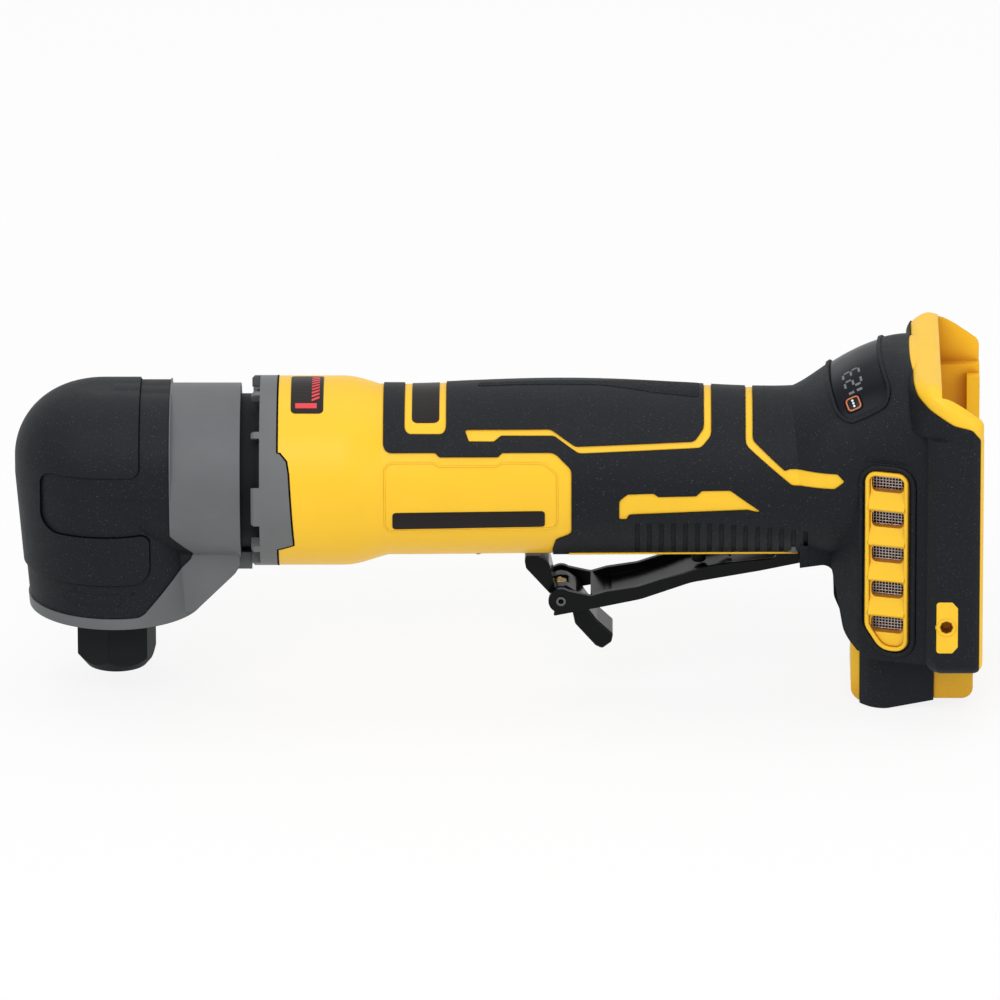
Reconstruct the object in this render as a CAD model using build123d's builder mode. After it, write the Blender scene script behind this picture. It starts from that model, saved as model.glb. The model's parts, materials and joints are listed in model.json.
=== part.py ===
"""Right-angle cordless die grinder, as separate pieces, in millimetres.

The part's origin is the mouth of the collet, +X runs from the head to the battery foot and +Z is up.
Stations (X) and heights are measured from the point where the motor axis crosses the spindle axis,
which lies DRIVE_Z above the collet mouth. The left half is the one at negative Y.
"""
import math
import os

from build123d import *

os.makedirs("parts", exist_ok=True)

# Fits and walls
RUN_FIT = 0.03            # radial gap of a turning shaft in its bearing
SEAT_FIT = 0.1            # gap of a fixed piece in its seat
SLIDE_FIT = 0.2           # gap round a button or plunger
MOVE_GAP = 0.4            # gap between pieces that swing past each other
EDGE_BREAK = 0.3          # small chamfers and rounds
SKIN = 2.0                # thickness of the soft overmould
SKIN_PROUD = 0.5          # how far the overmould stands above the hard housing
SKIN_FIT = 0.05           # gap between the overmould and the housing under it

# Head
DRIVE_Z = 63.0            # motor axis above the collet mouth
HEAD_LENGTH = 30.8        # spindle axis to the front of the head
HEAD_HALF = 27.6          # half width of the head
HEAD_TOP = 27.2
HEAD_ROUND = 22.0         # radius of the rounded top edge
HEAD_BOTTOM = 43.0        # depth of the head below the motor axis
HEAD_BOTTOM_R = 27.2
NECK_R = 27.4             # gear case behind the boot
NECK_END = 39.0
GUSSET_HALF = 16.0
BOOT = 2.2                # thickness of the boot
BOOT_PAD = 0.8            # raised pads on the boot
BOOT_END = 17.3           # rear edge of the boot
BOOT_HEM = 39.2           # lower edge of the boot, below the motor axis
CASE_INSET = 0.4          # the bare casting lies this much below the boot's pads
LUG_HALF = 8.0            # lug under the neck
LUG_TOP = 24.0
LUG_DROP = 29.5
CHAMBER_R = 17.5          # gear chamber
CHAMBER_TOP = 8.0
PINION_BORE = 12.0
FRONT_BEARING_X = 22.0
REAR_BEARING_X = 94.0
NECK_SPIGOT_R = 19.9      # motor neck, seated in the gear case
NECK_WAIST_R = 23.7
NECK_PLATE_FRONT = 44.0
NECK_PLATE_REAR = 47.5

# Bevel gears
MODULE = 1.5
PINION_TEETH = 13
GEAR_TEETH = 20
FACE_WIDTH = 5.5
PRESSURE_ANGLE = 20.0
BACKLASH = 0.16
ADDENDUM = 0.8            # stub teeth, in modules
DEDENDUM = 1.1
TOOTH_SINK = 0.3          # how far a tooth's root runs into the gear's body
GEAR_HUB_R = 9.0
GEAR_BACK = 16.0          # back of the ring gear's disc, from the crossing of the axes
PINION_HUB_R = 7.0
PINION_BACK = 17.5
PINION_END = 20.0
SHAFT_FRONT = 8.5

# Spindle, collet and nut
SPINDLE_R = 6.0
SPINDLE_TOP_R = 3.5
SPINDLE_TOP = 16.0
NOSE_R = 7.6
COLLAR_R = 8.6
NUT_FLATS = 22.0
NUT_HEIGHT = 18.0
NUT_TURN = 19.0           # angle of the hexagon about the spindle, degrees
SHANK_R = 3.0             # tool shank that the collet grips
COLLET_LENGTH = 20.0
LOWER_BEARING = (6.0, 14.0, 8.0)      # bore radius, outer radius, width
UPPER_BEARING = (3.5, 9.5, 6.0)
FRONT_BEARING = (5.0, 13.0, 8.0)
REAR_BEARING = (4.0, 11.0, 7.0)
BEARING_RECESS = 0.4      # the shields lie this far below the races
LOWER_BEARING_Z = -37.0
COVER_R = 22.0            # spindle cover under the head
COVER_FLANGE = 4.5
COVER_TOP = -27.0
COVER_BORE = 9.0
COVER_SCREWS = 4
COVER_SCREW_CIRCLE = 19.2
COVER_SCREW_R = 1.25
COVER_SCREW_HEAD_R = 2.3
COVER_SCREW_HEAD = 1.6
COVER_SCREW_TIP = -31.0
SHOULDER_Z = -4.0         # the spindle thins above this height
SHOULDER_R = 5.0
COLLAR_LOW = -44.0
NOSE_LOW = -58.0
CIRCLIP_LOW = -7.4
CIRCLIP = 1.0
CIRCLIP_GROOVE = 0.6
COLLET_NOSE_R = 4.6
COLLET_WIDE_R = 5.2       # taper of the collet, wide end and narrow end
COLLET_NARROW_R = 4.0
COLLET_SLIT = 0.6
SHANK_HOLE_TOP = -30.0
NUT_FACE_R = 9.4          # end face of the nut inside its chamfer
NUT_CORNER_R = NUT_FLATS / 2 + 1.8
NUT_CHAMFER = 4.2

# Barrel, motor and grip
RING_FRONT = 42.4         # exhaust ring
RING_R = 29.3
RING_WALL = 4.0
RING_CHAMFER = 0.8
RING_TAB_END = 55.4       # the ring's side tabs, keyed into the housing
RING_TAB_TOP = 14.8
RING_TAB_LOW = 17.5
BARREL_FRONT = 50.4
BARREL_R = 29.7
BARREL_END = 70.0
TAPER_END = 87.0
MOTOR_R = 23.1
STATOR_FRONT = 60.0
STATOR_LENGTH = 26.0
WINDING_OVERHANG = 3.0
ROTOR_R = 12.5
AIR_GAP = 0.5
FAN_FRONT = 48.5
FAN_WIDTH = 6.5
FAN_R = 21.5
FAN_BLADES = 11
FAN_HUB_R = 8.0
FAN_BLADE = 1.2
FAN_PLATE = 1.2
POLES = 6
YOKE_R = 17.5
POLE_WIDTH = 5.0
POLE_SHOE = 1.3
POLE_SHOE_WIDTH = 10.0
WINDING = 2.4
WINDING_IN = 14.4
WINDING_OUT = 16.6
LEAD_R = 1.3
LEAD_CIRCLE = 15.5
SHAFT_R = 4.0
END_PLATE_FRONT = 92.0
END_PLATE_REAR = 103.0
GRIP_BORE = 20.3
GRIP_BORE_END = 200.0

# Lever and lock-off
LEVER_PIVOT_X = 209.0
LEVER_PIVOT_DROP = 20.0
LEVER_HALF = 11.5
LEVER_SHEET = 1.7
PIVOT_R = 2.0
LOCK_PIN_X = 137.5
LOCK_PIN_DROP = 38.9
LOCK_PIN_R = 1.5
LOCK_HALF = 7.0
PIVOT_HALF = 14.0
PIN_FIT = 0.05            # gap of a hinge pin in its eye
PRESS_FIT = 0.02          # gap drawn at a press fit
LEVER_EYE_R = 4.5
LEVER_FLOOR_FRONT = 153.0
SLOT_START = 172.0        # slot in the grip's underside for the lever
SLOT_END = 217.0
LOCK_EYE_R = 3.9
LOCK_HUB_R = 3.3
LOCK_FORK_HALF = 3.0      # gap in the lock-off's hub for its spring
LOCK_GAP = 0.5            # gap between the lock-off's upper end and the grip
LOCK_EDGE = 0.8           # rounded edges of the tab
LOCK_SPRING_HALF = 2.2
LOCK_SPRING_R = 2.6
LOCK_SPRING_WIRE = 0.4
LOCK_SPRING_PITCH = 1.1
RETURN_X = 187.0          # lever return spring, between the switch and the lever
RETURN_LOW = -28.4
RETURN_R = 2.6
RETURN_WIRE = 0.4
RETURN_PITCH = 2.2

# Switch, control module and small screws
SWITCH_FRONT = 170.0
SWITCH_LENGTH = 22.0
SWITCH_HALF = 7.0
SWITCH_LOW = -13.0
SWITCH_HEIGHT = 22.0
PLUNGER_X = 180.0
PLUNGER_R = 2.2
PLUNGER_TOP = -8.0
PLUNGER_LOW = -29.8
PLUNGER_TRAVEL = 1.8
WIRE_X = 247.0            # battery leads, from the terminals to the switch
WIRE_Y = 3.0
WIRE_Z = 7.0
MODULE_FRONT = 109.0
MODULE_LENGTH = 50.0
MODULE_LOW = 3.0
MODULE_TOP = 17.0
SCREW_R = 1.5
SCREW_HEAD_R = 2.5
SCREW_HEAD = 2.4

RIBS = 15
RIB_START = 161.0
RIB_PITCH = 3.7
RIB_HALF = 0.7
RIB_TOP = -8.8
RIB_DEPTH = 0.9
EXHAUST_WINDOWS = ((90, 14.2), (58, 14.2), (122, 14.2), (24.5, 15.2), (155.5, 15.2), (-24.5, 8.8),
                   (204.5, 8.8), (-48, 9.0), (228, 9.0))     # angle about the motor axis and width
EXHAUST_DEPTH = 2.6

# Display and speed button
LENS_DEPTH = 0.3
DISPLAY_SLOPE = 25.5
WINDOW_X = 227.2
WINDOW_Z = 36.6           # height of the slope at the window's middle
WINDOW_WIDTH = 46.6
WINDOW_LENGTH = 16.4
WINDOW_ROUND = 3.5
BUTTON_Y = 20.4
BUTTON_DROP = 7.3         # the button lies this far below the window's middle
BUTTON_LEAN = 45.0        # and leans over to the side by this angle
BUTTON_SIZE = 5.0
BUTTON_DEPTH = 2.6
BUTTON_PROUD = 0.1
BUTTON_TRAVEL = 0.6

# Battery foot
FOOT_REAR = 267.0
FOOT_FRONT = 249.6        # front corner of the foot's sides
FOOT_HALF = 40.5
FOOT_TOP = 40.5
FOOT_BOTTOM = 53.0
FOOT_BEVEL = 3.2          # bevel between the foot's sides and the pods
BAY_FLOOR = 254.0         # station of the bay's floor, which faces the rear
BAY_HALF = 33.0
RAIL_LIP = 4.5            # how far the rails reach in over the groove
RAIL_THICK = 4.0
BAY_BOTTOM = 48.0
COLUMN_FRONT = 226.5
COLUMN_HALF = 20.0
COLUMN_BOTTOM = 71.0
DECK_FRONT = 244.0        # front edge of the foot's deck
DECK_END = 252.5
DECK_LOW = 24.0           # the deck's round corners start at this height
DECK_CORNER = 16.0
DECK_EDGE = 4.5           # round of the deck's outer edge
BAY_TOP_HALF = 37.0       # half width of the bay above the rails
WALL_TOP_REAR = 29.8      # height of the foot's side walls at the rear
RAIL_TOP = 20.0
BLOCK_BOTTOM = 68.3
POD_TOP = 13.0
POD_BOTTOM = 51.5
POD_HALF = 32.5
SLOTS = 5                 # air slots on each pod
SLOT_TOP = 6.6            # height of the highest one's middle
SLOT_PITCH = 11.5
SLOT_HALF = 2.7
SLOT_FRONT = 232.9
SLOT_REAR = 242.7
SLOT_ROUND = 1.6
SCREEN_DEPTH = 3.0        # air screens behind the face of the pods
SCREEN = 1.0
HOOK_X = 255.8            # belt-hook inserts
HOOK_DROP = 36.6
HOOK_R = 2.0
HOOK_WALL = 1.0
HOOK_DEPTH = 5.0
TERMINAL_HALF = 16.0
TERMINAL_TOP = -24.0
TERMINAL_DEPTH = 10.0     # depth of its pocket in the bay's floor
TERMINAL_REACH = 8.5      # how far it stands out of the floor
BLADES = 6
BLADE_PITCH = 4.8
BLADE_LENGTH = 24.0
BLADE = 0.8
BLADE_X = 261.0           # rear edge of the blades' recess
BLADE_DEPTH = 5.0
BLADE_ROOT = 6.0
BLADE_GUIDE = 1.6

# Grip sections: station, half width, top and bottom
GRIP_STATIONS = ((74, 27.0, 27.6, -26.4), (105, 26.2, 27.7, -26.4), (142, 25.4, 28.8, -26.1),
                 (178, 24.8, 27.2, -25.9), (214, 24.6, 26.8, -25.9))
# Sections of the neck that carries the display: station, half width, top, bottom and squareness,
# which is 2 for an ellipse and more for a squarer section
NECK_STATIONS = ((200, 24.2, 26.4, -25.5, 2.0), (212, 24.9, 27.7, -26.0, 2.2), (224, 27.2, 35.0, -26.5, 2.6),
                 (236, 28.2, 40.6, -26.8, 2.6), (244, 31.2, 41.0, -27.0, 2.8), (252, 33.0, 38.0, -27.0, 3.0))
SECTION_POINTS = 12

SIDE = Plane(origin=(0, 0, DRIVE_Z), x_dir=(1, 0, 0), z_dir=(0, -1, 0))
MOTOR_AXIS = Axis((0, 0, DRIVE_Z), (1, 0, 0))


def section(x):
    """The cross-section plane at station x: its own x runs along Y and its own y runs up."""
    return Plane(origin=(x, 0, DRIVE_Z), x_dir=(0, 1, 0), z_dir=(1, 0, 0))


def level(z):
    """The horizontal plane at height z above the motor axis."""
    return Plane(origin=(0, 0, DRIVE_Z + z))


def rounded_face(*corners):
    """A closed face with rounded corners, each given as (x, y, radius)."""
    with BuildSketch() as face:
        with BuildLine():
            FilletPolyline(*[(x, y) for x, y, _ in corners], radius=[r for _, _, r in corners], close=True)
        make_face()
    return face.sketch


def grown(amount):
    """Offset the sketch in hand by an amount, which may be zero."""
    if amount:
        offset(amount=amount)


def oval(half_width, top, bottom, squareness):
    """Points round a section of the neck: half an ellipse below, and a squarer half above."""
    points = []
    for i in range(SECTION_POINTS):
        angle = math.tau * i / SECTION_POINTS
        power = 2 / squareness if math.sin(angle) > 0 else 1
        across = math.copysign(abs(math.cos(angle)) ** power, math.cos(angle))
        up = math.copysign(abs(math.sin(angle)) ** power, math.sin(angle))
        points.append((half_width * across, (top + bottom) / 2 + (top - bottom) / 2 * up))
    return points


def head_body(grow):
    """The head's outer form, offset by grow: drum, rounded top, neck and the web between them."""
    centre = HEAD_HALF - HEAD_LENGTH
    half = HEAD_HALF + grow
    with BuildPart() as body:
        with BuildSketch(section(centre)):
            add(rounded_face((-half, 0, 0), (-half, HEAD_TOP + grow, HEAD_ROUND + grow),
                             (half, HEAD_TOP + grow, HEAD_ROUND + grow), (half, 0, 0)))
        extrude(amount=BOOT_END + CASE_INSET - centre)
        with BuildSketch(section(centre)):
            add(rounded_face((0, 0, 0), (0, HEAD_TOP + grow, 0), (half, HEAD_TOP + grow, HEAD_ROUND + grow),
                             (half, 0, 0)))
        revolve(axis=Axis((centre, 0, 0), (0, 0, 1)), revolution_arc=180)
        with BuildSketch(level(0)):
            with Locations((centre, 0)):
                Circle(half)
        with BuildSketch(level(-HEAD_BOTTOM - grow)):
            Circle(HEAD_BOTTOM_R + grow)
        loft()
        with BuildSketch(section(0)):
            Circle(NECK_R + grow)
        extrude(amount=NECK_END)
        with BuildSketch(SIDE):
            add(rounded_face((0, 0, 0), (0, -HEAD_BOTTOM + 1.0, 0), (24.5, -41.5, 5), (37.5, -28.5, 6),
                             (NECK_END, -26.0, 1), (NECK_END, 0, 0)))
            grown(grow)
        extrude(amount=GUSSET_HALF + grow, both=True)
    return body.part


def housing_body(grow):
    """The barrel and the grip, offset by grow."""
    with BuildPart() as body:
        with BuildSketch(SIDE):
            with BuildLine():
                Line((BARREL_FRONT, 0), (BARREL_FRONT, BARREL_R + grow))
                Line((BARREL_FRONT, BARREL_R + grow), (BARREL_END, BARREL_R + grow))
                Spline((BARREL_END, BARREL_R + grow), (TAPER_END, 26.0 + grow),
                       tangents=[(1, 0), (1, -0.12)])
                Line((TAPER_END, 26.0 + grow), (TAPER_END, 0))
                Line((TAPER_END, 0), (BARREL_FRONT, 0))
            make_face()
        revolve(axis=MOTOR_AXIS)
        for x, half_width, top, bottom in GRIP_STATIONS:
            with BuildSketch(section(x)):
                with Locations((0, (top + bottom) / 2)):
                    Ellipse(half_width + grow, (top - bottom) / 2 + grow)
        loft()
    return body.part


def neck_body(grow):
    """The neck between grip and foot, which rises to carry the display, offset by grow."""
    with BuildPart() as body:
        for x, half_width, top, bottom, squareness in NECK_STATIONS:
            with BuildSketch(section(x)):
                with BuildLine():
                    Spline(*oval(half_width + grow, top + grow, bottom - grow, squareness), periodic=True)
                make_face()
        loft()
    return body.part


def column_body(grow):
    """The column under the grip, rounded in front, down to the lowest point of the foot."""
    with BuildPart() as body:
        with BuildSketch(SIDE):
            add(rounded_face((211, -16, 0), (211, -25.6, 0), (221.5, -25.6, 4), (221.5, -36, 6),
                             (COLUMN_FRONT, -49, 4), (COLUMN_FRONT, -COLUMN_BOTTOM, 4),
                             (238, -COLUMN_BOTTOM, 9), (252, -BLOCK_BOTTOM, 4),
                             (FOOT_REAR - 2, -BLOCK_BOTTOM, 4), (FOOT_REAR - 2, -40, 0), (250, -16, 0)))
            grown(grow)
        extrude(amount=60, both=True)
        with BuildSketch(level(0)):
            add(rounded_face((205, -COLUMN_HALF, 0), (COLUMN_FRONT, -12, 6), (234, -COLUMN_HALF, 8),
                             (FOOT_REAR, -COLUMN_HALF, 0), (FOOT_REAR, COLUMN_HALF, 0),
                             (234, COLUMN_HALF, 8), (COLUMN_FRONT, 12, 6), (205, COLUMN_HALF, 0)))
            grown(grow)
        extrude(amount=100, both=True, mode=Mode.INTERSECT)
    return body.part


def pod_body(grow):
    """The two air intake pods on the sides of the foot, with the body between them."""
    with BuildPart() as body:
        with BuildSketch(SIDE):
            add(rounded_face((219, POD_TOP, 3), (219, -18, 8), (222.2, -33, 12), (224.6, -46, 8),
                             (231, -POD_BOTTOM, 6), (256, -POD_BOTTOM, 0), (256, POD_TOP, 0)))
            grown(grow)
        extrude(amount=60, both=True)
        with BuildSketch(level(0)):
            add(rounded_face((219, -13, 4), (230, -POD_HALF + 4.5, 8), (246, -POD_HALF, 6),
                             (256, -POD_HALF - 3, 0), (256, POD_HALF + 3, 0), (246, POD_HALF, 6),
                             (230, POD_HALF - 4.5, 8), (219, 13, 4)))
            grown(grow)
        extrude(amount=100, both=True, mode=Mode.INTERSECT)
    return body.part


def foot_body(grow):
    """The block that takes the battery: a deck with round corners over flat sides that slope to the rear."""
    half = FOOT_HALF
    deck = rounded_face((DECK_FRONT, -half, DECK_CORNER), (280, -half, 0), (280, half, 0),
                        (DECK_FRONT, half, DECK_CORNER))
    sides = rounded_face((FOOT_FRONT, FOOT_BEVEL - half, 1), (FOOT_FRONT + FOOT_BEVEL, -half, 1),
                         (280, -half, 0), (280, half, 0), (FOOT_FRONT + FOOT_BEVEL, half, 1),
                         (FOOT_FRONT, half - FOOT_BEVEL, 1))
    rear = FOOT_REAR - grow
    with BuildPart() as body:
        for plan, low, high in ((deck, DECK_LOW, 60), (sides, -60, DECK_LOW)):
            with BuildSketch(level(low)):
                add(plan)
                grown(grow)
            extrude(amount=high - low)
        with BuildSketch(SIDE):
            add(rounded_face((230, FOOT_TOP, 0), (DECK_END, FOOT_TOP, 5), (rear, WALL_TOP_REAR, 4),
                             (rear, -FOOT_BOTTOM, 3), (230, -FOOT_BOTTOM, 0)))
            grown(grow)
        extrude(amount=60, both=True, mode=Mode.INTERSECT)
        above = body.faces().filter_by(lambda face: face.center().Z > DRIVE_Z + DECK_LOW)
        deck_faces = above.filter_by(lambda face: face.normal_at().Z > 0.3)
        middle = (DECK_FRONT + 1, half / 8)
        rim = deck_faces.edges().filter_by(
            lambda edge: edge.center().X < middle[0] or abs(edge.center().Y) > middle[1])
        fillet(rim, DECK_EDGE + grow)
    return body.part


def envelope(grow):
    """The whole housing's outer form, offset by grow."""
    forms = [made(grow) for made in (housing_body, neck_body, column_body, pod_body, foot_body)]
    with BuildPart() as body:
        for form in forms:
            add(form)
    return body.part


def through(*outlines):
    """Outlines drawn in the side view, extruded right through the tool from side to side."""
    with BuildPart() as cutter:
        with BuildSketch(SIDE):
            for outline in outlines:
                add(outline)
        extrude(amount=60, both=True)
    return cutter.part


def tube(x_front, x_rear, outer_r, inner_r=0.0):
    """A round or hollow cylinder about the motor axis."""
    with BuildPart() as piece:
        with BuildSketch(section(x_front)):
            Circle(outer_r)
            if inner_r:
                Circle(inner_r, mode=Mode.SUBTRACT)
        extrude(amount=x_rear - x_front)
    return piece.part


def drum(z_low, z_high, outer_r, inner_r=0.0):
    """A round or hollow cylinder about the spindle axis."""
    with BuildPart() as piece:
        with BuildSketch(level(z_low)):
            Circle(outer_r)
            if inner_r:
                Circle(inner_r, mode=Mode.SUBTRACT)
        extrude(amount=z_high - z_low)
    return piece.part


def block(x, y, z):
    """A box given by its (low, high) pairs along X, Y and Z, with heights from the motor axis."""
    with BuildPart() as piece:
        with Locations(((x[0] + x[1]) / 2, (y[0] + y[1]) / 2, DRIVE_Z + (z[0] + z[1]) / 2)):
            Box(x[1] - x[0], y[1] - y[0], z[1] - z[0])
    return piece.part


def cross_bar(x, z, radius, half_length):
    """A round bar along Y, centred on the tool."""
    with BuildPart() as piece:
        with BuildSketch(SIDE):
            with Locations((x, z)):
                Circle(radius)
        extrude(amount=half_length, both=True)
    return piece.part


def drum_at(x, z_low, z_high, radius):
    """An upright round bar at station x."""
    with BuildPart() as piece:
        with BuildSketch(level(z_low)):
            with Locations((x, 0)):
                Circle(radius)
        extrude(amount=z_high - z_low)
    return piece.part


def bearing(sizes):
    """A shielded ball bearing standing on the ground plane; both faces show the two races."""
    bore, rim, width = sizes
    race = (rim - bore) * 0.28
    with BuildPart() as piece:
        with BuildSketch():
            Circle(rim)
            Circle(bore + RUN_FIT, mode=Mode.SUBTRACT)
        extrude(amount=width)
        for base in (0, width - BEARING_RECESS):
            with BuildSketch(Plane.XY.offset(base)):
                Circle(rim - race)
                Circle(bore + race, mode=Mode.SUBTRACT)
            extrude(amount=BEARING_RECESS, mode=Mode.SUBTRACT)
    return piece.part


def bevel_tooth(teeth, mate):
    """One straight bevel tooth about +Z, apex at the origin, with flanks through three involute points."""
    cone = math.atan2(teeth, mate)
    reach = MODULE / 2 * math.hypot(teeth, mate)
    pitch_r = MODULE * teeth / 2 / math.cos(cone)
    pressure = math.radians(PRESSURE_ANGLE)
    base_r = pitch_r * math.cos(pressure)
    half_angle = (math.pi * MODULE / 4 - BACKLASH / 4) / pitch_r
    flank = []
    for height in (-DEDENDUM * MODULE - TOOTH_SINK, 0, ADDENDUM * MODULE):
        r = pitch_r + height
        lean = math.acos(min(1.0, base_r / r))
        angle = half_angle + math.tan(pressure) - pressure - math.tan(lean) + lean
        flank.append((r * math.sin(angle), r * math.cos(angle) - pitch_r))
    with BuildPart() as tooth:
        for scale in (1, 1 - FACE_WIDTH / reach):
            along = reach * scale
            right = [(x * scale, y * scale) for x, y in flank]
            left = [(-x, y) for x, y in right]
            outward = Vector(math.sin(cone), 0, math.cos(cone))
            with BuildSketch(Plane(origin=outward * along, x_dir=(0, -1, 0), z_dir=outward)):
                with BuildLine():
                    ThreePointArc(*right)
                    Line(right[2], left[2])
                    ThreePointArc(*left)
                    Line(left[0], right[0])
                make_face()
        loft(ruled=True)
    return tooth.part


def bevel_gear(teeth, mate, bore, hub_r, back, end, turn):
    """A straight bevel gear about +Z, its apex at the origin, turned by a share of a tooth pitch."""
    cone = math.atan2(teeth, mate)
    reach = MODULE / 2 * math.hypot(teeth, mate)
    small = 1 - FACE_WIDTH / reach
    root_r = reach * math.sin(cone) - DEDENDUM * MODULE * math.cos(cone)
    root_z = reach * math.cos(cone) + DEDENDUM * MODULE * math.sin(cone)
    tooth = bevel_tooth(teeth, mate)
    with BuildPart() as gear:
        with BuildSketch(Plane.XZ):
            with BuildLine():
                Polyline((bore, root_z * small), (root_r * small, root_z * small), (root_r, root_z),
                         (root_r - math.cos(cone), root_z + math.sin(cone)), (root_r - math.cos(cone), back),
                         (hub_r, back), (hub_r, end), (bore, end), close=True)
            make_face()
        revolve(axis=Axis.Z)
        with PolarLocations(0, teeth, start_angle=turn * 360 / teeth):
            add(tooth)
    return gear.part


def collet_taper(gap):
    """The collet's tapered length, or the spindle's socket for it when a gap is given."""
    with BuildPart() as cone:
        with BuildSketch(level(NOSE_LOW)):
            Circle(COLLET_WIDE_R + gap)
        with BuildSketch(level(COLLET_LENGTH - DRIVE_Z + gap)):
            Circle(COLLET_NARROW_R + gap)
        loft()
    return cone.part


def cover_screw_shape(gap, head):
    """The spindle cover's screws, or the room for them: heads up to a height above the head's underside."""
    with BuildPart() as shape:
        for low, high, radius in ((-HEAD_BOTTOM, head - HEAD_BOTTOM, COVER_SCREW_HEAD_R),
                                  (-HEAD_BOTTOM, COVER_SCREW_TIP + gap, COVER_SCREW_R)):
            with BuildSketch(level(low)):
                with PolarLocations(COVER_SCREW_CIRCLE, COVER_SCREWS, start_angle=45):
                    Circle(radius + gap)
            extrude(amount=high - low)
    return shape.part


def hand_in(builder, name):
    """Label a finished piece and write it out."""
    builder.part.label = name
    export_step(builder.part, f"parts/{name}.step")


# Outlines in the side view
grip_skin = rounded_face(
    (83, 45, 0), (83, 14, 2.5), (99, 14, 0.8), (100.2, 12.8, 0.8), (118.3, 12.8, 0.8), (119.5, 14, 0.8),
    (135.5, 14, 4), (140.8, 9, 3), (140.8, -13, 2), (136, -15.5, 1.5), (135, -20, 1), (135, -48, 0),
    (212, -49.5, 0), (COLUMN_FRONT + 3.1, -49.5, 0), (COLUMN_FRONT + 3.1, -FOOT_BOTTOM - 0.1, 0),
    (FOOT_REAR - 1.1, -FOOT_BOTTOM - 0.1, 0), (FOOT_REAR - 1.1, 24.2, 2), (263.4, 27.6, 3),
    (257.8, 29, 4), (250, 33.4, 6), (246.6, 36.2, 4), (DECK_FRONT + 0.2, 41, 3), (DECK_FRONT + 0.2, 50, 0))
motor_plate = rounded_face((89.5, 46, 0), (89.5, 18.7, 2), (102.3, 18.7, 2), (102.3, 46, 0))
front_line = rounded_face(
    (107.9, 20, 0.5), (134.5, 20.2, 4), (142, 15.6, 3), (178.5, 16.6, 2.5), (181.4, 20, 2), (181.4, 46, 0),
    (183.7, 46, 0), (183.7, 18, 3), (180.5, 14.8, 3), (143, 13.6, 4), (135.5, 18.4, 3), (119.2, 18.4, 0.5),
    (117, 16.9, 0.3), (109.3, 16.9, 0.3))
rear_line = rounded_face(
    (194.2, 46, 0), (194.2, 15.5, 3), (208.5, 3.8, 2), (221.5, 3.6, 0.5), (224.6, 6, 0.5), (222.3, 8.6, 0.5),
    (207.8, 8.9, 0.3), (206.2, 8.3, 0.3), (196.4, 16.8, 2), (196.4, 46, 0))
grip_patch = rounded_face(
    (155.4, -7.5, 0.3), (155.4, -1, 2), (158, 1.2, 1), (166, 1.4, 0.5), (167.4, 0.3, 0.5), (179, 0.5, 0.5),
    (180.8, 2.2, 0.5), (189.5, 2.3, 2), (200, -5.6, 0.4), (194.8, -4.2, 1), (158.4, -5.8, 1),
    (157.8, -7.5, 0.3))
vent_frame = rounded_face((230.9, 10.3, 4), (244.3, 10.3, 4), (244.3, -47.9, 4), (236, -47.9, 6),
                          (230.9, -40, 6))
ring_tab = rounded_face((BARREL_FRONT - 1, RING_TAB_TOP, 0), (BARREL_FRONT + 0.8, RING_TAB_TOP, 1),
                        (RING_TAB_END - 2, RING_TAB_TOP - 2.6, 1.5),
                        (RING_TAB_END - 1.4, RING_TAB_TOP - 6, 3), (RING_TAB_END, 2 - RING_TAB_LOW, 1.5),
                        (BARREL_FRONT + 0.8, -RING_TAB_LOW, 1), (BARREL_FRONT - 1, -RING_TAB_LOW, 0))
hook_boss = rounded_face((252.7, -28.3, 1), (257.6, -28.3, 0.5), (259.3, -30.3, 0.5), (259.3, -43, 0.5),
                         (257.6, -45, 0.5), (252.7, -45, 1))
vent_slots = []
for i in range(SLOTS):
    z = SLOT_TOP - i * SLOT_PITCH
    high = z + SLOT_HALF
    low = z - SLOT_HALF
    vent_slots.append(rounded_face((SLOT_FRONT, high, SLOT_ROUND), (SLOT_REAR, high, SLOT_ROUND),
                                   (SLOT_REAR, low, SLOT_ROUND), (SLOT_FRONT, low, SLOT_ROUND)))
screen_outline = rounded_face((231.9, 9.3, 3), (243.6, 9.3, 3), (243.6, -46.5, 3), (231.9, -42.5, 3))
bumper_skin = rounded_face((COLUMN_FRONT + 3.1, -FOOT_BOTTOM - 0.4, 0), (COLUMN_FRONT + 3.1, -80, 0),
                           (252.4, -80, 0), (252.4, -FOOT_BOTTOM - 0.4, 0))


def skin_shape(*windows):
    """The grip overmould's outline with its windows."""
    with BuildSketch() as shape:
        add(grip_skin)
        for window in windows:
            add(window, mode=Mode.SUBTRACT)
    return shape.sketch


def shrunk(shape, amount):
    with BuildSketch() as smaller:
        add(shape)
        offset(amount=-amount)
    return smaller.sketch


# Display: a window across the neck's slope and a button at its left end, square to the surface there
slope = math.radians(DISPLAY_SLOPE)
lean = math.radians(BUTTON_LEAN)
upright = math.cos(lean)
window_plane = Plane(origin=(WINDOW_X, 0, DRIVE_Z + WINDOW_Z), x_dir=(0, 1, 0),
                     z_dir=(-math.sin(slope), 0, math.cos(slope)))
button_plane = Plane(origin=(WINDOW_X, -BUTTON_Y, DRIVE_Z + WINDOW_Z - BUTTON_DROP),
                     x_dir=(math.cos(slope), 0, math.sin(slope)),
                     z_dir=(-math.sin(slope) * upright, -math.sin(lean), math.cos(slope) * upright))


def window_prism(gap):
    with BuildPart() as prism:
        with BuildSketch(window_plane):
            RectangleRounded(WINDOW_WIDTH - 2 * gap, WINDOW_LENGTH - 2 * gap, WINDOW_ROUND - gap)
        extrude(amount=16, both=True)
    return prism.part


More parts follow.
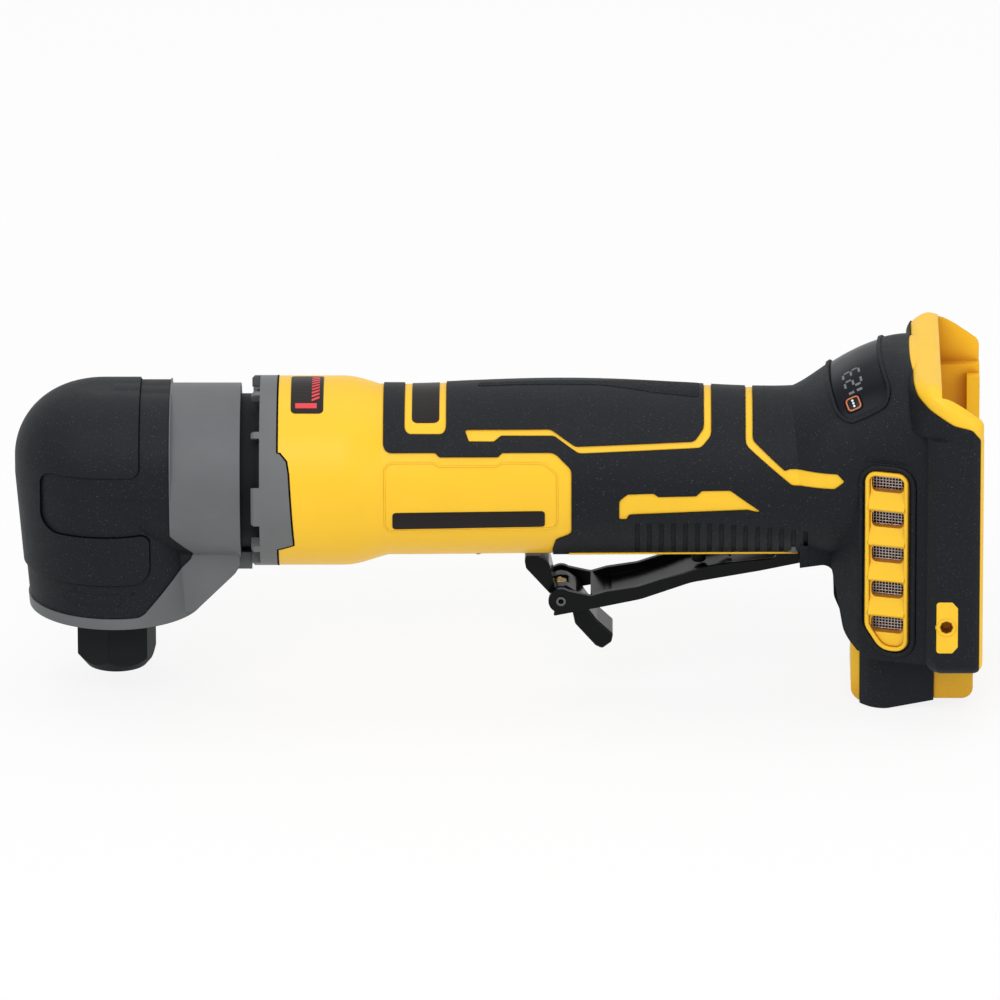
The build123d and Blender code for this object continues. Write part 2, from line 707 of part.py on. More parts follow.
def button_prism(gap, depth):
    with BuildPart() as prism:
        with BuildSketch(button_plane.offset(-depth)):
            RectangleRounded(BUTTON_SIZE + 2 * gap, BUTTON_SIZE + 2 * gap, 1.2 + gap)
        extrude(amount=depth + 4)
    return prism.part


# Shared forms
outer = envelope(0)
hard = envelope(-SKIN_PROUD)
under_skin = envelope(-SKIN)
skin_seat = envelope(-SKIN + SKIN_FIT)
grip_windows = (motor_plate, front_line, rear_line, grip_patch, vent_frame, hook_boss)
grip_shape = skin_shape(*grip_windows)

# Screws that close the housing from the right: station, height, outer end and inner end along Y
housing_screw_places = ((112, -22.9, 4.0, -9), (150, 24.2, 6.0, -9), (206, 13.5, 18.0, -12),
                        (242, 25.0, 20.0, -14), (238, -60.5, 14.0, -12))


def screw_shape(head_gap, shank_gap, head_length):
    """The housing screws, or the room for them when gaps and a longer head are given."""
    with BuildPart() as shape:
        for x, z, head_seat, tip in housing_screw_places:
            with BuildSketch(SIDE.offset(-head_seat)):
                with Locations((x, z)):
                    Circle(SCREW_HEAD_R + head_gap)
            extrude(amount=-head_length)
            with BuildSketch(SIDE.offset(-head_seat)):
                with Locations((x, z)):
                    Circle(SCREW_R + shank_gap)
            extrude(amount=head_seat - tip + shank_gap)
    return shape.part


screw_room = screw_shape(SEAT_FIT, SEAT_FIT, 60)
button_room = button_prism(SLIDE_FIT, BUTTON_DEPTH + BUTTON_TRAVEL + 1)

# What the overmould takes from the housing
with BuildPart() as skin_room:
    add(through(grip_shape, bumper_skin))
    add(under_skin, mode=Mode.SUBTRACT)

# Hollows of the housing
switch_box = ((SWITCH_FRONT, SWITCH_FRONT + SWITCH_LENGTH), (-SWITCH_HALF, SWITCH_HALF),
              (SWITCH_LOW, SWITCH_LOW + SWITCH_HEIGHT))
slot_half = LEVER_HALF + MOVE_GAP
lever_slot = block((SLOT_START, SLOT_END), (-slot_half, slot_half), (-40, SWITCH_LOW))
pivot_room = cross_bar(LEVER_PIVOT_X, -LEVER_PIVOT_DROP, PIVOT_R + SEAT_FIT, PIVOT_HALF + SEAT_FIT)
with BuildPart() as hollows:
    add(tube(BARREL_FRONT - 5, END_PLATE_REAR + SEAT_FIT, MOTOR_R + SEAT_FIT))
    add(tube(END_PLATE_REAR, GRIP_BORE_END, GRIP_BORE))
    for x in (SWITCH_FRONT + 1.5, SWITCH_FRONT + SWITCH_LENGTH - 4):
        add(tube(x, x + 2.5, GRIP_BORE + 1), mode=Mode.SUBTRACT)
    add(block(switch_box[0], (-SWITCH_HALF - SEAT_FIT, SWITCH_HALF + SEAT_FIT),
              (SWITCH_LOW - SEAT_FIT, SWITCH_LOW + SWITCH_HEIGHT + SEAT_FIT)))
    add(lever_slot)
    add(pivot_room)
    add(block((GRIP_BORE_END - 1, 248), (-7, 7), (2, 12)))
    add(block((240, BAY_FLOOR - 1), (-7, 7), (-40, 12)))
    for side in (-1, 1):
        add(block((233.5, 242), tuple(sorted((side * 6, side * 25))), (-42, 8)))
    add(block((BAY_FLOOR - TERMINAL_DEPTH - SEAT_FIT, BAY_FLOOR + 1),
              (-TERMINAL_HALF - SEAT_FIT, TERMINAL_HALF + SEAT_FIT), (-BAY_BOTTOM, TERMINAL_TOP + SEAT_FIT)))
    # Bay: between the rails, the grooves behind them, and the open top above them
    add(block((BAY_FLOOR, FOOT_REAR + 20), (RAIL_LIP - BAY_HALF, BAY_HALF - RAIL_LIP), (-BAY_BOTTOM, 60)))
    add(block((BAY_FLOOR, FOOT_REAR - RAIL_THICK), (-BAY_HALF, BAY_HALF), (-BAY_BOTTOM, 60)))
    add(block((BAY_FLOOR, FOOT_REAR + 20), (-BAY_TOP_HALF, BAY_TOP_HALF), (RAIL_TOP + 2.5, 60)))
    add(block((BAY_FLOOR, FOOT_REAR + 20), (-BAY_HALF, BAY_HALF), (RAIL_TOP, RAIL_TOP + 3)))
    add(block((BAY_FLOOR - 4, BAY_FLOOR + 1), (-10, 10), (20, 31)))

with BuildPart() as air_slots:
    add(through(*vent_slots))
    add(pod_body(-11), mode=Mode.SUBTRACT)
with BuildPart() as screen_room:
    add(pod_body(-SCREEN_DEPTH))
    add(through(screen_outline), mode=Mode.INTERSECT)
    add(pod_body(-SCREEN_DEPTH - SCREEN), mode=Mode.SUBTRACT)
with BuildPart() as hook_holes:
    with BuildSketch(SIDE):
        with Locations((HOOK_X, -HOOK_DROP)):
            Circle(HOOK_R + HOOK_WALL)
    extrude(amount=FOOT_HALF + 5, both=True)
    add(block((240, 280), (HOOK_DEPTH - FOOT_HALF, FOOT_HALF - HOOK_DEPTH), (-60, 0)), mode=Mode.SUBTRACT)
with BuildPart() as tab_room:
    add(tube(BARREL_FRONT - 1, RING_TAB_END + 1, RING_R + 5, RING_R - RING_WALL + 1 - SEAT_FIT))
    add(through(shrunk(ring_tab, -SEAT_FIT)), mode=Mode.INTERSECT)

# Air frames and hook bosses stand flush with the overmould round them
with BuildPart() as raised:
    add(through(vent_frame, hook_boss))
    add(outer, mode=Mode.INTERSECT)
    add(pod_body(-SKIN), mode=Mode.SUBTRACT)
    add(foot_body(-SKIN), mode=Mode.SUBTRACT)

with BuildPart() as housing:
    add(hard)
    add(skin_room.part, mode=Mode.SUBTRACT)
    add(raised.part)
    rooms = [room.part for room in (hollows, air_slots, screen_room, hook_holes, tab_room)]
    add([*rooms, screw_room, button_room], mode=Mode.SUBTRACT)

with BuildPart() as left_housing:
    add(housing.part)
    split(bisect_by=Plane.XZ, keep=Keep.TOP)
hand_in(left_housing, "left_housing")

with BuildPart() as right_housing:
    add(housing.part)
    split(bisect_by=Plane.XZ, keep=Keep.BOTTOM)
hand_in(right_housing, "right_housing")

# Overmould: skin over the grip and foot, with ribs under the fingers and a window for the display
rib_slots = []
for i in range(RIBS):
    x = RIB_START + i * RIB_PITCH
    top = RIB_TOP - 0.11 * max(0.0, x - 185)
    rib_slots.append(rounded_face((x - RIB_HALF, top, 0.3), (x + RIB_HALF, top, 0.3), (x + RIB_HALF, -24, 0),
                                  (x - RIB_HALF, -24, 0)))
with BuildPart() as rib_grooves:
    add(through(*rib_slots))
    add(housing_body(-RIB_DEPTH), mode=Mode.SUBTRACT)
with BuildPart() as overmould:
    add(outer)
    add(through(shrunk(grip_shape, SKIN_FIT)), mode=Mode.INTERSECT)
    add([skin_seat, rib_grooves.part, window_prism(0), lever_slot, pivot_room, screw_room],
        mode=Mode.SUBTRACT)
with BuildPart() as bumpers:
    add(outer)
    add(through(shrunk(bumper_skin, SKIN_FIT)), mode=Mode.INTERSECT)
    add([skin_seat, screw_room], mode=Mode.SUBTRACT)

with BuildPart() as left_grip_overmould:
    add(overmould.part)
    split(bisect_by=Plane.XZ, keep=Keep.TOP)
hand_in(left_grip_overmould, "left_grip_overmould")

with BuildPart() as right_grip_overmould:
    add(overmould.part)
    split(bisect_by=Plane.XZ, keep=Keep.BOTTOM)
hand_in(right_grip_overmould, "right_grip_overmould")

with BuildPart() as left_foot_bumper:
    add(bumpers.part)
    split(bisect_by=Plane.XZ, keep=Keep.TOP)
hand_in(left_foot_bumper, "left_foot_bumper")

with BuildPart() as right_foot_bumper:
    add(bumpers.part)
    split(bisect_by=Plane.XZ, keep=Keep.BOTTOM)
hand_in(right_foot_bumper, "right_foot_bumper")

with BuildPart() as display_lens:
    add(neck_body(-LENS_DEPTH))
    add(neck_body(-SKIN + SKIN_FIT), mode=Mode.SUBTRACT)
    add(window_prism(SEAT_FIT), mode=Mode.INTERSECT)
    add(button_prism(SLIDE_FIT, BUTTON_DEPTH + 3), mode=Mode.SUBTRACT)
hand_in(display_lens, "display_lens")

with BuildPart() as speed_button:
    add(neck_body(-LENS_DEPTH + BUTTON_PROUD))
    add(button_prism(0, BUTTON_DEPTH), mode=Mode.INTERSECT)
hand_in(speed_button, "speed_button")

with BuildPart() as housing_screws:
    add(screw_shape(0, 0, SCREW_HEAD))
    for x, z, head_seat, _ in housing_screw_places:
        with BuildSketch(SIDE.offset(-head_seat - SCREW_HEAD)):
            with Locations((x, z)):
                RegularPolygon(SCREW_R, 6)
        extrude(amount=SCREW_HEAD / 2, mode=Mode.SUBTRACT)
hand_in(housing_screws, "housing_screws")

# Air screens and belt-hook inserts, one of each on either side
for name, keep in (("left", Keep.TOP), ("right", Keep.BOTTOM)):
    with BuildPart() as intake_screen:
        add(pod_body(-SCREEN_DEPTH - SEAT_FIT))
        add(through(shrunk(screen_outline, SEAT_FIT)), mode=Mode.INTERSECT)
        add(pod_body(-SCREEN_DEPTH - SCREEN + SEAT_FIT), mode=Mode.SUBTRACT)
        split(bisect_by=Plane.XZ, keep=keep)
    hand_in(intake_screen, f"{name}_intake_screen")
with BuildPart() as belt_hook_inserts:
    with BuildSketch(SIDE):
        with Locations((HOOK_X, -HOOK_DROP)):
            Circle(HOOK_R + HOOK_WALL - SEAT_FIT)
            Circle(HOOK_R, mode=Mode.SUBTRACT)
    extrude(amount=FOOT_HALF - 0.2, both=True)
    add(block((240, 280), (HOOK_DEPTH - FOOT_HALF, FOOT_HALF - HOOK_DEPTH), (-60, 0)), mode=Mode.SUBTRACT)
hand_in(belt_hook_inserts, "belt_hook_inserts")

# Exhaust ring: open castellations in front and two tabs keyed into the housing
with BuildPart() as ring_tabs:
    add(tube(BARREL_FRONT - 1, RING_TAB_END + 1, RING_R, RING_R - RING_WALL + 1))
    add(through(ring_tab), mode=Mode.INTERSECT)
with BuildPart() as exhaust_ring:
    add(tube(RING_FRONT, BARREL_FRONT - SEAT_FIT, RING_R, RING_R - RING_WALL))
    front_edges = exhaust_ring.edges().filter_by(GeomType.CIRCLE).group_by(Axis.X)[0]
    chamfer(front_edges.sort_by(SortBy.RADIUS)[-1], RING_CHAMFER)
    add(ring_tabs.part)
    for angle, width in EXHAUST_WINDOWS:
        with BuildSketch(section(RING_FRONT)):
            with PolarLocations(RING_R, 1, start_angle=angle):
                Rectangle(3 * RING_WALL, width)
        extrude(amount=EXHAUST_DEPTH, mode=Mode.SUBTRACT)
hand_in(exhaust_ring, "exhaust_ring")

# Gear case: a casting with the boot's seat round it, and the gear chamber and bearing seats in it
boot_outline = rounded_face((-50, 50, 0), (BOOT_END, 50, 0), (BOOT_END, -13, 1.5), (24.5, -21, 1.5),
                            (23.5, -23.5, 2), (8.5, -BOOT_HEM, 5), (-50, -BOOT_HEM, 0))
boot_pad = rounded_face((-50, 50, 0), (8, 50, 0), (8, 7.3, 3), (-22.5, 7.3, 4), (-22.5, -12.5, 6),
                        (11, -12.5, 3), (11, -28, 5), (-50, -28, 0))
boot_seat = head_body(-BOOT - SKIN_FIT)
with BuildPart() as boot_room:
    add(through(boot_outline))
    add(boot_seat, mode=Mode.SUBTRACT)
with BuildPart() as gear_case:
    add(head_body(-CASE_INSET))
    add(boot_room.part, mode=Mode.SUBTRACT)
    add(block((NECK_END - 1, RING_FRONT - SEAT_FIT), (-LUG_HALF, LUG_HALF), (-LUG_DROP, -LUG_TOP)))
    add(drum(-HEAD_BOTTOM - 1, CHAMBER_TOP, CHAMBER_R), mode=Mode.SUBTRACT)
    add(drum(-HEAD_BOTTOM - 1, COVER_FLANGE - HEAD_BOTTOM, COVER_R + SEAT_FIT), mode=Mode.SUBTRACT)
    add(drum(0, SPINDLE_TOP + SEAT_FIT, UPPER_BEARING[1] + SEAT_FIT), mode=Mode.SUBTRACT)
    add(tube(0, FRONT_BEARING_X, PINION_BORE), mode=Mode.SUBTRACT)
    add(tube(0, FRONT_BEARING_X + FRONT_BEARING[2], FRONT_BEARING[1] + SEAT_FIT), mode=Mode.SUBTRACT)
    add(tube(FRONT_BEARING_X + FRONT_BEARING[2], NECK_END + 1, NECK_SPIGOT_R + SEAT_FIT), mode=Mode.SUBTRACT)
    add(cover_screw_shape(SEAT_FIT, COVER_SCREW_HEAD), mode=Mode.SUBTRACT)
hand_in(gear_case, "gear_case")

# Boot: a rubber skin with a raised pad that wraps round a tongue on each side
with BuildPart() as boot_raised:
    add(head_body(0))
    add(through(boot_pad), mode=Mode.INTERSECT)
with BuildPart() as gear_case_boot:
    add(head_body(-BOOT_PAD))
    add(boot_raised.part)
    add(through(shrunk(boot_outline, SKIN_FIT)), mode=Mode.INTERSECT)
    add(head_body(-BOOT), mode=Mode.SUBTRACT)
hand_in(gear_case_boot, "gear_case_boot")

# Spindle cover under the head, with the lower bearing in it and four countersunk screws
with BuildPart() as spindle_cover:
    add(drum(-HEAD_BOTTOM, COVER_FLANGE - HEAD_BOTTOM - SEAT_FIT, COVER_R))
    chamfer(spindle_cover.edges().group_by(Axis.Z)[0], EDGE_BREAK)
    add(drum(-HEAD_BOTTOM + 1, COVER_TOP, CHAMBER_R - SEAT_FIT))
    add(drum(-HEAD_BOTTOM - 1, COVER_TOP + 1, COVER_BORE), mode=Mode.SUBTRACT)
    add(drum(LOWER_BEARING_Z, COVER_TOP + 1, LOWER_BEARING[1] + SKIN_FIT), mode=Mode.SUBTRACT)
    add(cover_screw_shape(SEAT_FIT, COVER_SCREW_HEAD), mode=Mode.SUBTRACT)
hand_in(spindle_cover, "spindle_cover")

with BuildPart() as cover_screws:
    add(cover_screw_shape(0, COVER_SCREW_HEAD - SEAT_FIT))
    with BuildSketch(level(-HEAD_BOTTOM)):
        with PolarLocations(COVER_SCREW_CIRCLE, COVER_SCREWS, start_angle=45):
            RegularPolygon(COVER_SCREW_R, 6)
    extrude(amount=COVER_SCREW_HEAD - 0.5, mode=Mode.SUBTRACT)
hand_in(cover_screws, "cover_screws")

with BuildPart() as lower_spindle_bearing:
    with Locations((0, 0, DRIVE_Z + LOWER_BEARING_Z)):
        add(bearing(LOWER_BEARING))
hand_in(lower_spindle_bearing, "lower_spindle_bearing")

with BuildPart() as upper_spindle_bearing:
    with Locations((0, 0, DRIVE_Z + SPINDLE_TOP - UPPER_BEARING[2])):
        add(bearing(UPPER_BEARING))
hand_in(upper_spindle_bearing, "upper_spindle_bearing")

with BuildPart() as front_motor_bearing:
    with Locations(section(FRONT_BEARING_X)):
        add(bearing(FRONT_BEARING))
hand_in(front_motor_bearing, "front_motor_bearing")

with BuildPart() as rear_motor_bearing:
    with Locations(section(REAR_BEARING_X)):
        add(bearing(REAR_BEARING))
hand_in(rear_motor_bearing, "rear_motor_bearing")

# Spindle train: spindle, ring gear and its circlip, collet and nut
circlip_bore = SPINDLE_R - CIRCLIP_GROOVE
with BuildPart() as spindle:
    add(drum(SHOULDER_Z, SPINDLE_TOP - SEAT_FIT, SPINDLE_TOP_R))
    add(drum(SHOULDER_Z, SPINDLE_TOP - UPPER_BEARING[2] - SEAT_FIT, SHOULDER_R))
    add(drum(LOWER_BEARING_Z - 1, SHOULDER_Z, SPINDLE_R))
    add(drum(COLLAR_LOW, LOWER_BEARING_Z - SEAT_FIT, COLLAR_R))
    add(drum(NOSE_LOW, COLLAR_LOW, NOSE_R))
    add(drum(CIRCLIP_LOW - SKIN_FIT, CIRCLIP_LOW + CIRCLIP + SKIN_FIT, COLLAR_R, circlip_bore),
        mode=Mode.SUBTRACT)
    add(collet_taper(SKIN_FIT), mode=Mode.SUBTRACT)
    add(drum(NOSE_LOW, SHANK_HOLE_TOP, SHANK_R + MOVE_GAP), mode=Mode.SUBTRACT)
    chamfer(spindle.edges().group_by(Axis.Z)[-1], EDGE_BREAK)
hand_in(spindle, "spindle")

with BuildPart() as gear_circlip:
    add(drum(CIRCLIP_LOW, CIRCLIP_LOW + CIRCLIP, SPINDLE_R + 1.4, circlip_bore + SKIN_FIT))
    add(block((-10, -4), (-2, 2), (CIRCLIP_LOW - 1, CIRCLIP_LOW + 2)), mode=Mode.SUBTRACT)
hand_in(gear_circlip, "gear_circlip")

with BuildPart() as ring_gear:
    with Locations(Plane(origin=(0, 0, DRIVE_Z), x_dir=(1, 0, 0), z_dir=(0, 0, -1))):
        add(bevel_gear(GEAR_TEETH, PINION_TEETH, SPINDLE_R + PRESS_FIT, GEAR_HUB_R, GEAR_BACK,
                       -LOWER_BEARING_Z - LOWER_BEARING[2] - SEAT_FIT, 0.5))
hand_in(ring_gear, "ring_gear")

with BuildPart() as collet:
    add(collet_taper(0))
    add(drum(-DRIVE_Z, NOSE_LOW, COLLET_NOSE_R))
    chamfer(collet.edges().group_by(Axis.Z)[0], EDGE_BREAK)
    add(drum(-DRIVE_Z, 0, SHANK_R), mode=Mode.SUBTRACT)
    for angle in (0, 60, 120):
        with BuildSketch(level(-DRIVE_Z)):
            with Locations(Rot(0, 0, angle)):
                Rectangle(4 * COLLET_NOSE_R, COLLET_SLIT)
        extrude(amount=COLLET_LENGTH - 4, mode=Mode.SUBTRACT)
hand_in(collet, "collet")

with BuildPart() as collet_nut:
    with BuildSketch(level(-DRIVE_Z)):
        RegularPolygon(NUT_FLATS / 2, 6, major_radius=False, rotation=NUT_TURN)
    extrude(amount=NUT_HEIGHT)
    with BuildSketch(Plane.XZ):
        with BuildLine():
            Polyline((0, 0), (NUT_FACE_R, 0), (NUT_CORNER_R, NUT_CHAMFER), (NUT_CORNER_R, NUT_HEIGHT - 1),
                     (NUT_CORNER_R - 1.4, NUT_HEIGHT), (0, NUT_HEIGHT), close=True)
        make_face()
    revolve(axis=Axis.Z, mode=Mode.INTERSECT)
    add(drum(NOSE_LOW - SKIN_FIT, NUT_HEIGHT, NOSE_R + SKIN_FIT), mode=Mode.SUBTRACT)
    add(drum(-DRIVE_Z, 0, COLLET_NOSE_R + SLIDE_FIT), mode=Mode.SUBTRACT)
hand_in(collet_nut, "collet_nut")

# Motor: shaft with pinion, fan and rotor, and the stator round it
with BuildPart() as motor_shaft:
    add(tube(SHAFT_FRONT, REAR_BEARING_X + REAR_BEARING[2], SHAFT_R))
    add(tube(PINION_END, FAN_FRONT - 2.5, FRONT_BEARING[0]))
    chamfer(motor_shaft.edges().group_by(Axis.X)[0], EDGE_BREAK)
hand_in(motor_shaft, "motor_shaft")

with BuildPart() as bevel_pinion:
    with Locations(Plane(origin=(0, 0, DRIVE_Z), x_dir=(0, 0, -1), z_dir=(1, 0, 0))):
        add(bevel_gear(PINION_TEETH, GEAR_TEETH, SHAFT_R + PRESS_FIT, PINION_HUB_R, PINION_BACK,
                       PINION_END - PRESS_FIT, 0))
hand_in(bevel_pinion, "bevel_pinion")

with BuildPart() as cooling_fan:
    with BuildSketch(section(FAN_FRONT)):
        Circle(FAN_HUB_R)
        with PolarLocations(0, FAN_BLADES):
            with Locations((FAN_R / 2, 0)):
                Rectangle(FAN_R - 0.4, FAN_BLADE)
    extrude(amount=FAN_WIDTH)
    add(tube(FAN_FRONT + FAN_WIDTH - FAN_PLATE, FAN_FRONT + FAN_WIDTH, FAN_R))
    add(tube(FAN_FRONT, FAN_FRONT + FAN_WIDTH, SHAFT_R + PRESS_FIT), mode=Mode.SUBTRACT)
hand_in(cooling_fan, "cooling_fan")

with BuildPart() as rotor_core:
    add(tube(STATOR_FRONT, STATOR_FRONT + STATOR_LENGTH, ROTOR_R, SHAFT_R + PRESS_FIT))
    with BuildSketch(section(STATOR_FRONT)):
        with PolarLocations(ROTOR_R - 3, 4):
            Rectangle(1.6, 10)
    extrude(amount=1.2, mode=Mode.SUBTRACT)
hand_in(rotor_core, "rotor_core")

with BuildPart() as stator_core:
    with BuildSketch(section(STATOR_FRONT)):
        Circle(MOTOR_R)
        Circle(YOKE_R, mode=Mode.SUBTRACT)
        with PolarLocations(0, POLES):
            with Locations(((ROTOR_R + MOTOR_R) / 2, 0)):
                Rectangle(MOTOR_R - ROTOR_R - 2, POLE_WIDTH)
            with Locations((ROTOR_R + POLE_SHOE / 2, 0)):
                Rectangle(POLE_SHOE + 1, POLE_SHOE_WIDTH)
        Circle(ROTOR_R + AIR_GAP, mode=Mode.SUBTRACT)
    extrude(amount=STATOR_LENGTH)
hand_in(stator_core, "stator_core")

with BuildPart() as stator_windings:
    with BuildSketch(section(STATOR_FRONT - WINDING_OVERHANG)):
        with PolarLocations((WINDING_IN + WINDING_OUT) / 2, POLES):
            Rectangle(WINDING_OUT - WINDING_IN, POLE_WIDTH + 2 * WINDING)
    extrude(amount=STATOR_LENGTH + 2 * WINDING_OVERHANG)
    with BuildSketch(section(STATOR_FRONT - SEAT_FIT)):
        with PolarLocations((WINDING_IN + WINDING_OUT) / 2, POLES):
            Rectangle(WINDING_OUT - WINDING_IN + 2, POLE_WIDTH + 2 * SEAT_FIT)
    extrude(amount=STATOR_LENGTH + 2 * SEAT_FIT, mode=Mode.SUBTRACT)
hand_in(stator_windings, "stator_windings")

with BuildPart() as motor_end_plate:
    add(tube(END_PLATE_FRONT, END_PLATE_REAR, MOTOR_R, SHAFT_R + 1))
    add(tube(END_PLATE_FRONT, REAR_BEARING_X, REAR_BEARING[1] - 2), mode=Mode.SUBTRACT)
    add(tube(REAR_BEARING_X, REAR_BEARING_X + REAR_BEARING[2] + SKIN_FIT, REAR_BEARING[1] + SKIN_FIT),
        mode=Mode.SUBTRACT)
    with BuildSketch(section(END_PLATE_FRONT)):
        with PolarLocations(LEAD_CIRCLE, 3, start_angle=30, angular_range=180):
            Circle(LEAD_R + SEAT_FIT)
    extrude(amount=END_PLATE_REAR - END_PLATE_FRONT, mode=Mode.SUBTRACT)
hand_in(motor_end_plate, "motor_end_plate")

with BuildPart() as motor_neck:
    add(tube(FRONT_BEARING_X + FRONT_BEARING[2] + SEAT_FIT, NECK_END + 1, NECK_SPIGOT_R))
    add(tube(NECK_END + SKIN_FIT, NECK_PLATE_FRONT, NECK_WAIST_R))
    add(tube(NECK_PLATE_FRONT, NECK_PLATE_REAR, RING_R - RING_WALL - SLIDE_FIT))
    add(tube(FRONT_BEARING_X, NECK_PLATE_REAR, FRONT_BEARING[0] + 1.5), mode=Mode.SUBTRACT)
hand_in(motor_neck, "motor_neck")

with BuildPart() as motor_leads:
    with BuildSketch(section(STATOR_FRONT + STATOR_LENGTH + WINDING_OVERHANG + SKIN_FIT)):
        with PolarLocations(LEAD_CIRCLE, 3, start_angle=30, angular_range=180):
            Circle(LEAD_R)
    extrude(amount=MODULE_FRONT - STATOR_FRONT - STATOR_LENGTH - WINDING_OVERHANG - SEAT_FIT)
hand_in(motor_leads, "motor_leads")

# Control module, switch and battery terminals
with BuildPart() as control_module:
    add(tube(MODULE_FRONT, MODULE_FRONT + MODULE_LENGTH, GRIP_BORE - SEAT_FIT))
    add(block((0, 300), (-30, 30), (MODULE_LOW, MODULE_TOP)), mode=Mode.INTERSECT)
    for x in range(int(MODULE_FRONT) + 5, int(MODULE_FRONT + MODULE_LENGTH) - 4, 5):
        add(block((x, x + 2), (-30, 30), (MODULE_TOP - 3, 30)), mode=Mode.SUBTRACT)
hand_in(control_module, "control_module")

with BuildPart() as switch_body:
    add(block(*switch_box))
    add(drum_at(PLUNGER_X, SWITCH_LOW - 1, PLUNGER_TOP + PLUNGER_TRAVEL + MOVE_GAP, PLUNGER_R + SLIDE_FIT),
        mode=Mode.SUBTRACT)
hand_in(switch_body, "switch_body")

with BuildPart() as switch_plunger:
    add(drum_at(PLUNGER_X, PLUNGER_LOW, PLUNGER_TOP, PLUNGER_R))
    fillet(switch_plunger.edges().group_by(Axis.Z)[0], 0.8)
hand_in(switch_plunger, "switch_plunger")

with BuildPart() as terminal_block:
    add(block((BAY_FLOOR - TERMINAL_DEPTH, BAY_FLOOR + TERMINAL_REACH), (-TERMINAL_HALF, TERMINAL_HALF),
              (SEAT_FIT - BAY_BOTTOM, TERMINAL_TOP)))
    add(block((BLADE_X - BLADE_DEPTH, BLADE_X), (-TERMINAL_HALF, TERMINAL_HALF),
              (TERMINAL_TOP - BLADE_ROOT, TERMINAL_TOP + 1)), mode=Mode.SUBTRACT)
    for i in range(BLADES + 1):
        y = (i - BLADES / 2) * BLADE_PITCH
        add(block((BLADE_X - BLADE_DEPTH - 1, BLADE_X + 1), (y - BLADE_GUIDE / 2, y + BLADE_GUIDE / 2),
                  (TERMINAL_TOP - BLADE_ROOT - 1, TERMINAL_TOP)))
hand_in(terminal_block, "terminal_block")

with BuildPart() as terminal_blades:
    for i in range(BLADES):
        y = (i - (BLADES - 1) / 2) * BLADE_PITCH
        add(block((BLADE_X - BLADE_DEPTH + 0.5, BLADE_X - 0.5), (y - BLADE / 2, y + BLADE / 2),
                  (TERMINAL_TOP - BLADE_ROOT, TERMINAL_TOP + BLADE_LENGTH - BLADE_ROOT)))
hand_in(terminal_blades, "terminal_blades")

with BuildPart() as battery_leads:
    for y in (-WIRE_Y, WIRE_Y):
        with BuildLine(Plane(origin=(0, y, DRIVE_Z), x_dir=(1, 0, 0), z_dir=(0, -1, 0))) as wire:
            FilletPolyline((WIRE_X, TERMINAL_TOP + SKIN_FIT), (WIRE_X, WIRE_Z),
                           (SWITCH_FRONT + SWITCH_LENGTH + SKIN_FIT, WIRE_Z), radius=5)
        with BuildSketch(Plane(origin=wire.line @ 0, z_dir=wire.line % 0)):
            Circle(LEAD_R)
        sweep(path=wire.line)
        with BuildSketch(section(MODULE_FRONT + MODULE_LENGTH + SKIN_FIT)):
            with Locations((y, WIRE_Z)):
                Circle(LEAD_R)
        extrude(amount=SWITCH_FRONT - MODULE_FRONT - MODULE_LENGTH - SEAT_FIT)
hand_in(battery_leads, "battery_leads")

# Lever: a steel channel on a cross pin, with a sprung lock-off at its front end
lever_underside = ((150, -40.8, 20), (162.2, -38.2, 20), (177.6, -32.7, 20), (199, -28.8, 20),
                   (213.1, -25.8, 2))
lever_wall = rounded_face(
    (135, -43.8, 0.4), *lever_underside, (215.9, -23.2, 1.5), (213.4, -19.5, 0.5), (205, -20.5, 0.5),
    (203.6, -25, 3), (188.3, -26.7, 8), (181.5, -27.8, 8), (174.8, -30.1, 8), (167.7, -32, 8),
    (161, -34.3, 8), (151.5, -35.8, 3), (146.6, -37.3, 2), (138.3, -35.4, 0.5))
lever_top = rounded_face((120, -46.35, 0), *lever_underside[:-1], (240, -20, 0), (240, 10, 0), (120, 10, 0))
lever_room = shrunk(lever_top, LEVER_SHEET)
lever_inner = LEVER_HALF - LEVER_SHEET
with BuildPart() as lever:
    with BuildSketch(SIDE):
        add(lever_wall)
        with Locations((LEVER_PIVOT_X, -LEVER_PIVOT_DROP)):
            Circle(LEVER_EYE_R)
        with Locations((LOCK_PIN_X, -LOCK_PIN_DROP)):
            Circle(LOCK_EYE_R)
    extrude(amount=LEVER_HALF, both=True)
    with BuildSketch(SIDE):
        add(lever_room)
    extrude(amount=lever_inner, both=True, mode=Mode.SUBTRACT)
    add(block((120, LEVER_FLOOR_FRONT), (-lever_inner, lever_inner), (-60, 0)), mode=Mode.SUBTRACT)
    add(cross_bar(LEVER_PIVOT_X, -LEVER_PIVOT_DROP, PIVOT_R + PIN_FIT, 20), mode=Mode.SUBTRACT)
    add(cross_bar(LOCK_PIN_X, -LOCK_PIN_DROP, LOCK_PIN_R + PRESS_FIT, 20), mode=Mode.SUBTRACT)
hand_in(lever, "lever")

with BuildPart() as lever_pivot_pin:
    add(cross_bar(LEVER_PIVOT_X, -LEVER_PIVOT_DROP, PIVOT_R, PIVOT_HALF))
hand_in(lever_pivot_pin, "lever_pivot_pin")

with BuildPart() as lock_off_pin:
    add(cross_bar(LOCK_PIN_X, -LOCK_PIN_DROP, LOCK_PIN_R, LEVER_HALF + 0.4))
    add(cross_bar(LOCK_PIN_X, -LOCK_PIN_DROP, LOCK_PIN_R - 0.7, 20), mode=Mode.SUBTRACT)
hand_in(lock_off_pin, "lock_off_pin")

